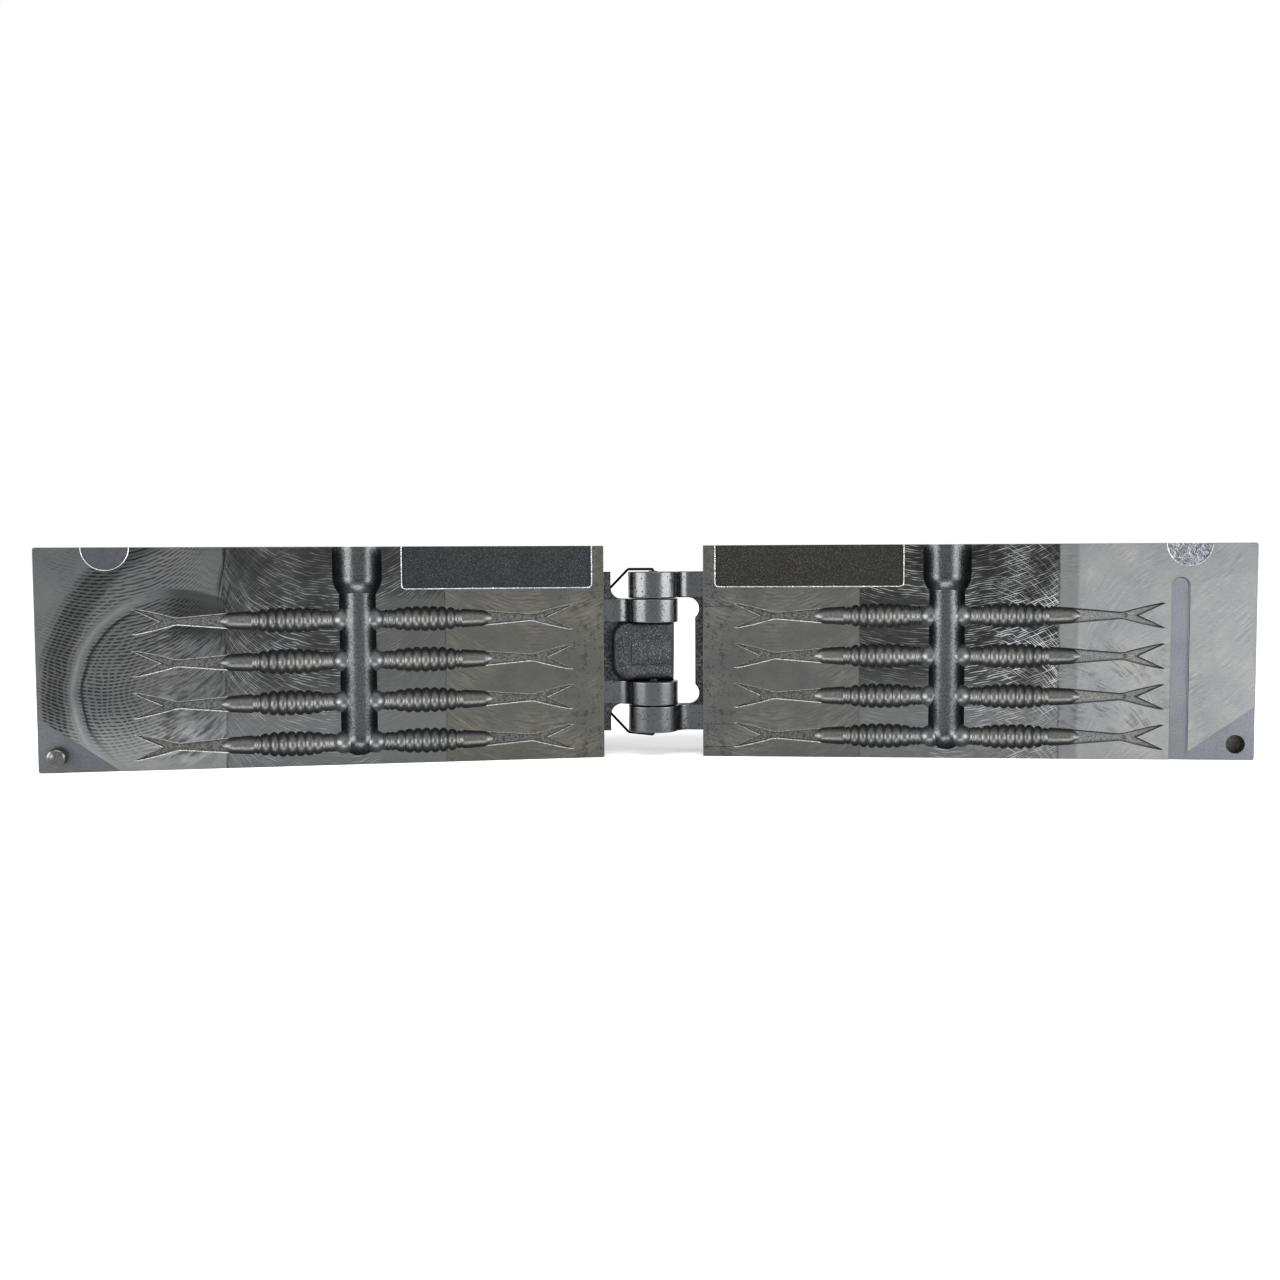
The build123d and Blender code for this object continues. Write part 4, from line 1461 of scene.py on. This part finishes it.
@dataclass
class LocatingPin:
    """Steel dowel standing out of the left half's corner, with a round nose and a fine groove at its foot."""

    stance: Stance
    radius: float = 3.175
    stand: float = 4.0
    seat: float = 8.0
    nose: float = 1.3
    crown: float = 0.5
    groove_start: float = 0.25
    groove_width: float = 0.5
    groove_depth: float = 0.25
    centre_u: float = 201.4
    height: float = 5.5

    def make(self) -> bpy.types.Object:
        """Turn the dowel's profile about the axis that runs out of the face."""
        groove = self.radius - self.groove_depth
        start, end = self.groove_start, self.groove_start + self.groove_width
        profile = [(-self.seat, 0.05), (-self.seat, self.radius), (start, self.radius), (start, groove)]
        profile += [(end, groove), (end, self.radius)]
        for angle in np.linspace(0, np.pi / 2, 7):
            fall = self.nose * (1 - math.sin(angle))
            profile.append((self.stand - self.crown - fall, self.radius - self.nose * (1 - math.cos(angle))))
        for share in (0.75, 0.5, 0.25, 0.02):
            profile.append((self.stand - self.crown * share**2, (self.radius - self.nose) * share))
        rings = turned(np.array(profile), 48)
        flat = np.stack([self.centre_u + rings[..., 1], -rings[..., 0], self.height + rings[..., 2]], axis=-1)
        finish = DOWEL_STEEL.build("dowel_steel", self.stance)
        piece = place_shell("locating_pin_shown", ringed(flat), self.stance, [finish])
        shade(piece, angle=30.0)
        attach(piece, "left_half")
        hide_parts("locating_pin")
        return piece


@dataclass(frozen=True)
class Lamp:
    """A rectangular soft light, its places and sizes in metres."""

    name: str
    place: Triple
    size: Pair
    watts: float
    aim: Triple = (0.0, 0.0, 0.04)

    def make(self) -> None:
        """Hang the light: its third axis points back along the line to its aim, and its first is level."""
        light = bpy.data.lights.new(self.name, "AREA")
        light.shape = "RECTANGLE"
        light.size, light.size_y = self.size
        light.energy = self.watts
        piece = bpy.data.objects.new(self.name, light)
        bpy.context.scene.collection.objects.link(piece)
        toward = np.array(self.aim) - np.array(self.place)
        toward = toward / np.linalg.norm(toward)
        side = np.cross(toward, (0.0, 0.0, 1.0))
        side /= np.linalg.norm(side)
        up = np.cross(side, toward)
        turn = Matrix(np.column_stack([side, up, -toward]).tolist())
        piece.matrix_world = Matrix.Translation(self.place) @ turn.to_4x4()


@dataclass
class Studio:
    """Pale floor, white surroundings, three soft lights and the camera at the photograph's angle.

    The camera's place is in millimetres, and its turns are in degrees about the axes of the eye, which has y
    up and z backwards.
    """

    lamps: tuple[Lamp, ...] = (
        Lamp("left_light", (-1.03, -0.38, 0.24), (1.2, 0.6), 28.0),
        Lamp("right_light", (0.95, -0.55, 0.24), (0.95, 0.6), 23.0),
        Lamp("top_light", (0.0, -0.65, 0.85), (1.0, 0.3), 9.0),
    )
    camera_place: Triple = (-26.5, -485.7, 71.6)
    camera_turns: tuple[tuple[str, float], ...] = (("Z", 0.22), ("Y", -0.54), ("X", 3.47), ("Y", 3.06))
    focal_pixels: float = 1398.0
    picture: float = 1280.0
    sensor: float = 36.0
    fill: float = 0.6
    floor_reach: Pair = (0.25, 1.6)
    floor_glow: Pair = (0.12, 0.6)

    def world(self) -> None:
        """Surroundings that are white to the eye, to metal and to glass, and dimmer as a fill light."""
        world = bpy.data.worlds.new("surroundings")
        world.use_nodes = True
        bpy.context.scene.world = world
        graph = Graph.of_tree(world.node_tree)
        ground = world.node_tree.nodes["Background"]
        ground.inputs["Color"].default_value = (1.0, 1.0, 1.0, 1.0)
        graph.put(ground.inputs["Strength"], graph.blend(graph.seen_directly(), self.fill, 1.0))

    def floor(self) -> None:
        """A wide pale disc under the mould."""
        circle = arc((0.0, 0.0), 6.0, 0, 352.5, 48)
        mesh = bpy.data.meshes.new("floor")
        mesh.from_pydata([(x, y, 0.0) for x, y in circle], [], [list(range(len(circle)))])
        piece = bpy.data.objects.new("floor", mesh)
        bpy.context.scene.collection.objects.link(piece)
        graph = Graph("floor_paper", 0.0, 0.9)
        graph.shader.inputs["Base Color"].default_value = (0.9, 0.9, 0.9, 1.0)
        graph.shader.inputs["Specular IOR Level"].default_value = 0.1
        place = graph.add("ShaderNodeTexCoord").outputs["Object"]
        distance = graph.add("ShaderNodeVectorMath", operation="LENGTH")
        graph.put(distance.inputs[0], place)
        far = graph.blend(graph.ease(distance.outputs["Value"], *self.floor_reach), *self.floor_glow)
        graph.shader.inputs["Emission Color"].default_value = (1.0, 1.0, 1.0, 1.0)
        graph.put(graph.shader.inputs["Emission Strength"], graph.times(graph.seen_directly(), far))
        mesh.materials.append(graph.material)

    def camera(self) -> None:
        """Camera from the photograph: its turns one after another, then from the eye to the row frame."""
        turn = Matrix.Identity(3)
        for axis, degrees in self.camera_turns:
            turn = turn @ Matrix.Rotation(math.radians(degrees), 3, axis)
        to_row = Matrix(((1, 0, 0), (0, 0, -1), (0, 1, 0)))
        data = bpy.data.cameras.new("camera")
        data.sensor_width = self.sensor
        data.lens = self.focal_pixels / self.picture * self.sensor
        data.clip_start, data.clip_end = 0.01, 50.0
        piece = bpy.data.objects.new("camera", data)
        bpy.context.scene.collection.objects.link(piece)
        place = Matrix.Translation([value * MM for value in self.camera_place])
        piece.matrix_world = place @ (to_row @ turn.transposed()).to_4x4()
        bpy.context.scene.camera = piece

    def make(self) -> None:
        """Set the stage."""
        self.world()
        self.floor()
        for lamp in self.lamps:
            lamp.make()
        self.camera()
        bpy.context.scene.view_settings.view_transform = "Standard"


def main() -> None:
    """Build the mould piece by piece."""
    logging.basicConfig(level=logging.INFO, format="%(name)s: %(message)s")
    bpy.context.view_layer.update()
    low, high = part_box("hinge_pin")
    hinge_y = (low.y + high.y) / 2 / MM
    left, right = Stance(Side.LEFT, hinge_y), Stance(Side.RIGHT, hinge_y)
    makers = [
        Half(left, "left_mould_half", "left_half"),
        Half(right, "right_mould_half", "right_half"),
        HingePin(left),
        PinClip(left),
        LocatingPin(left),
    ]
    for maker in makers:
        piece = maker.make()
        LOG.info("%s: %d faces", piece.name, len(piece.data.polygons))
    Studio().make()


if __name__ == "__main__":
    main()
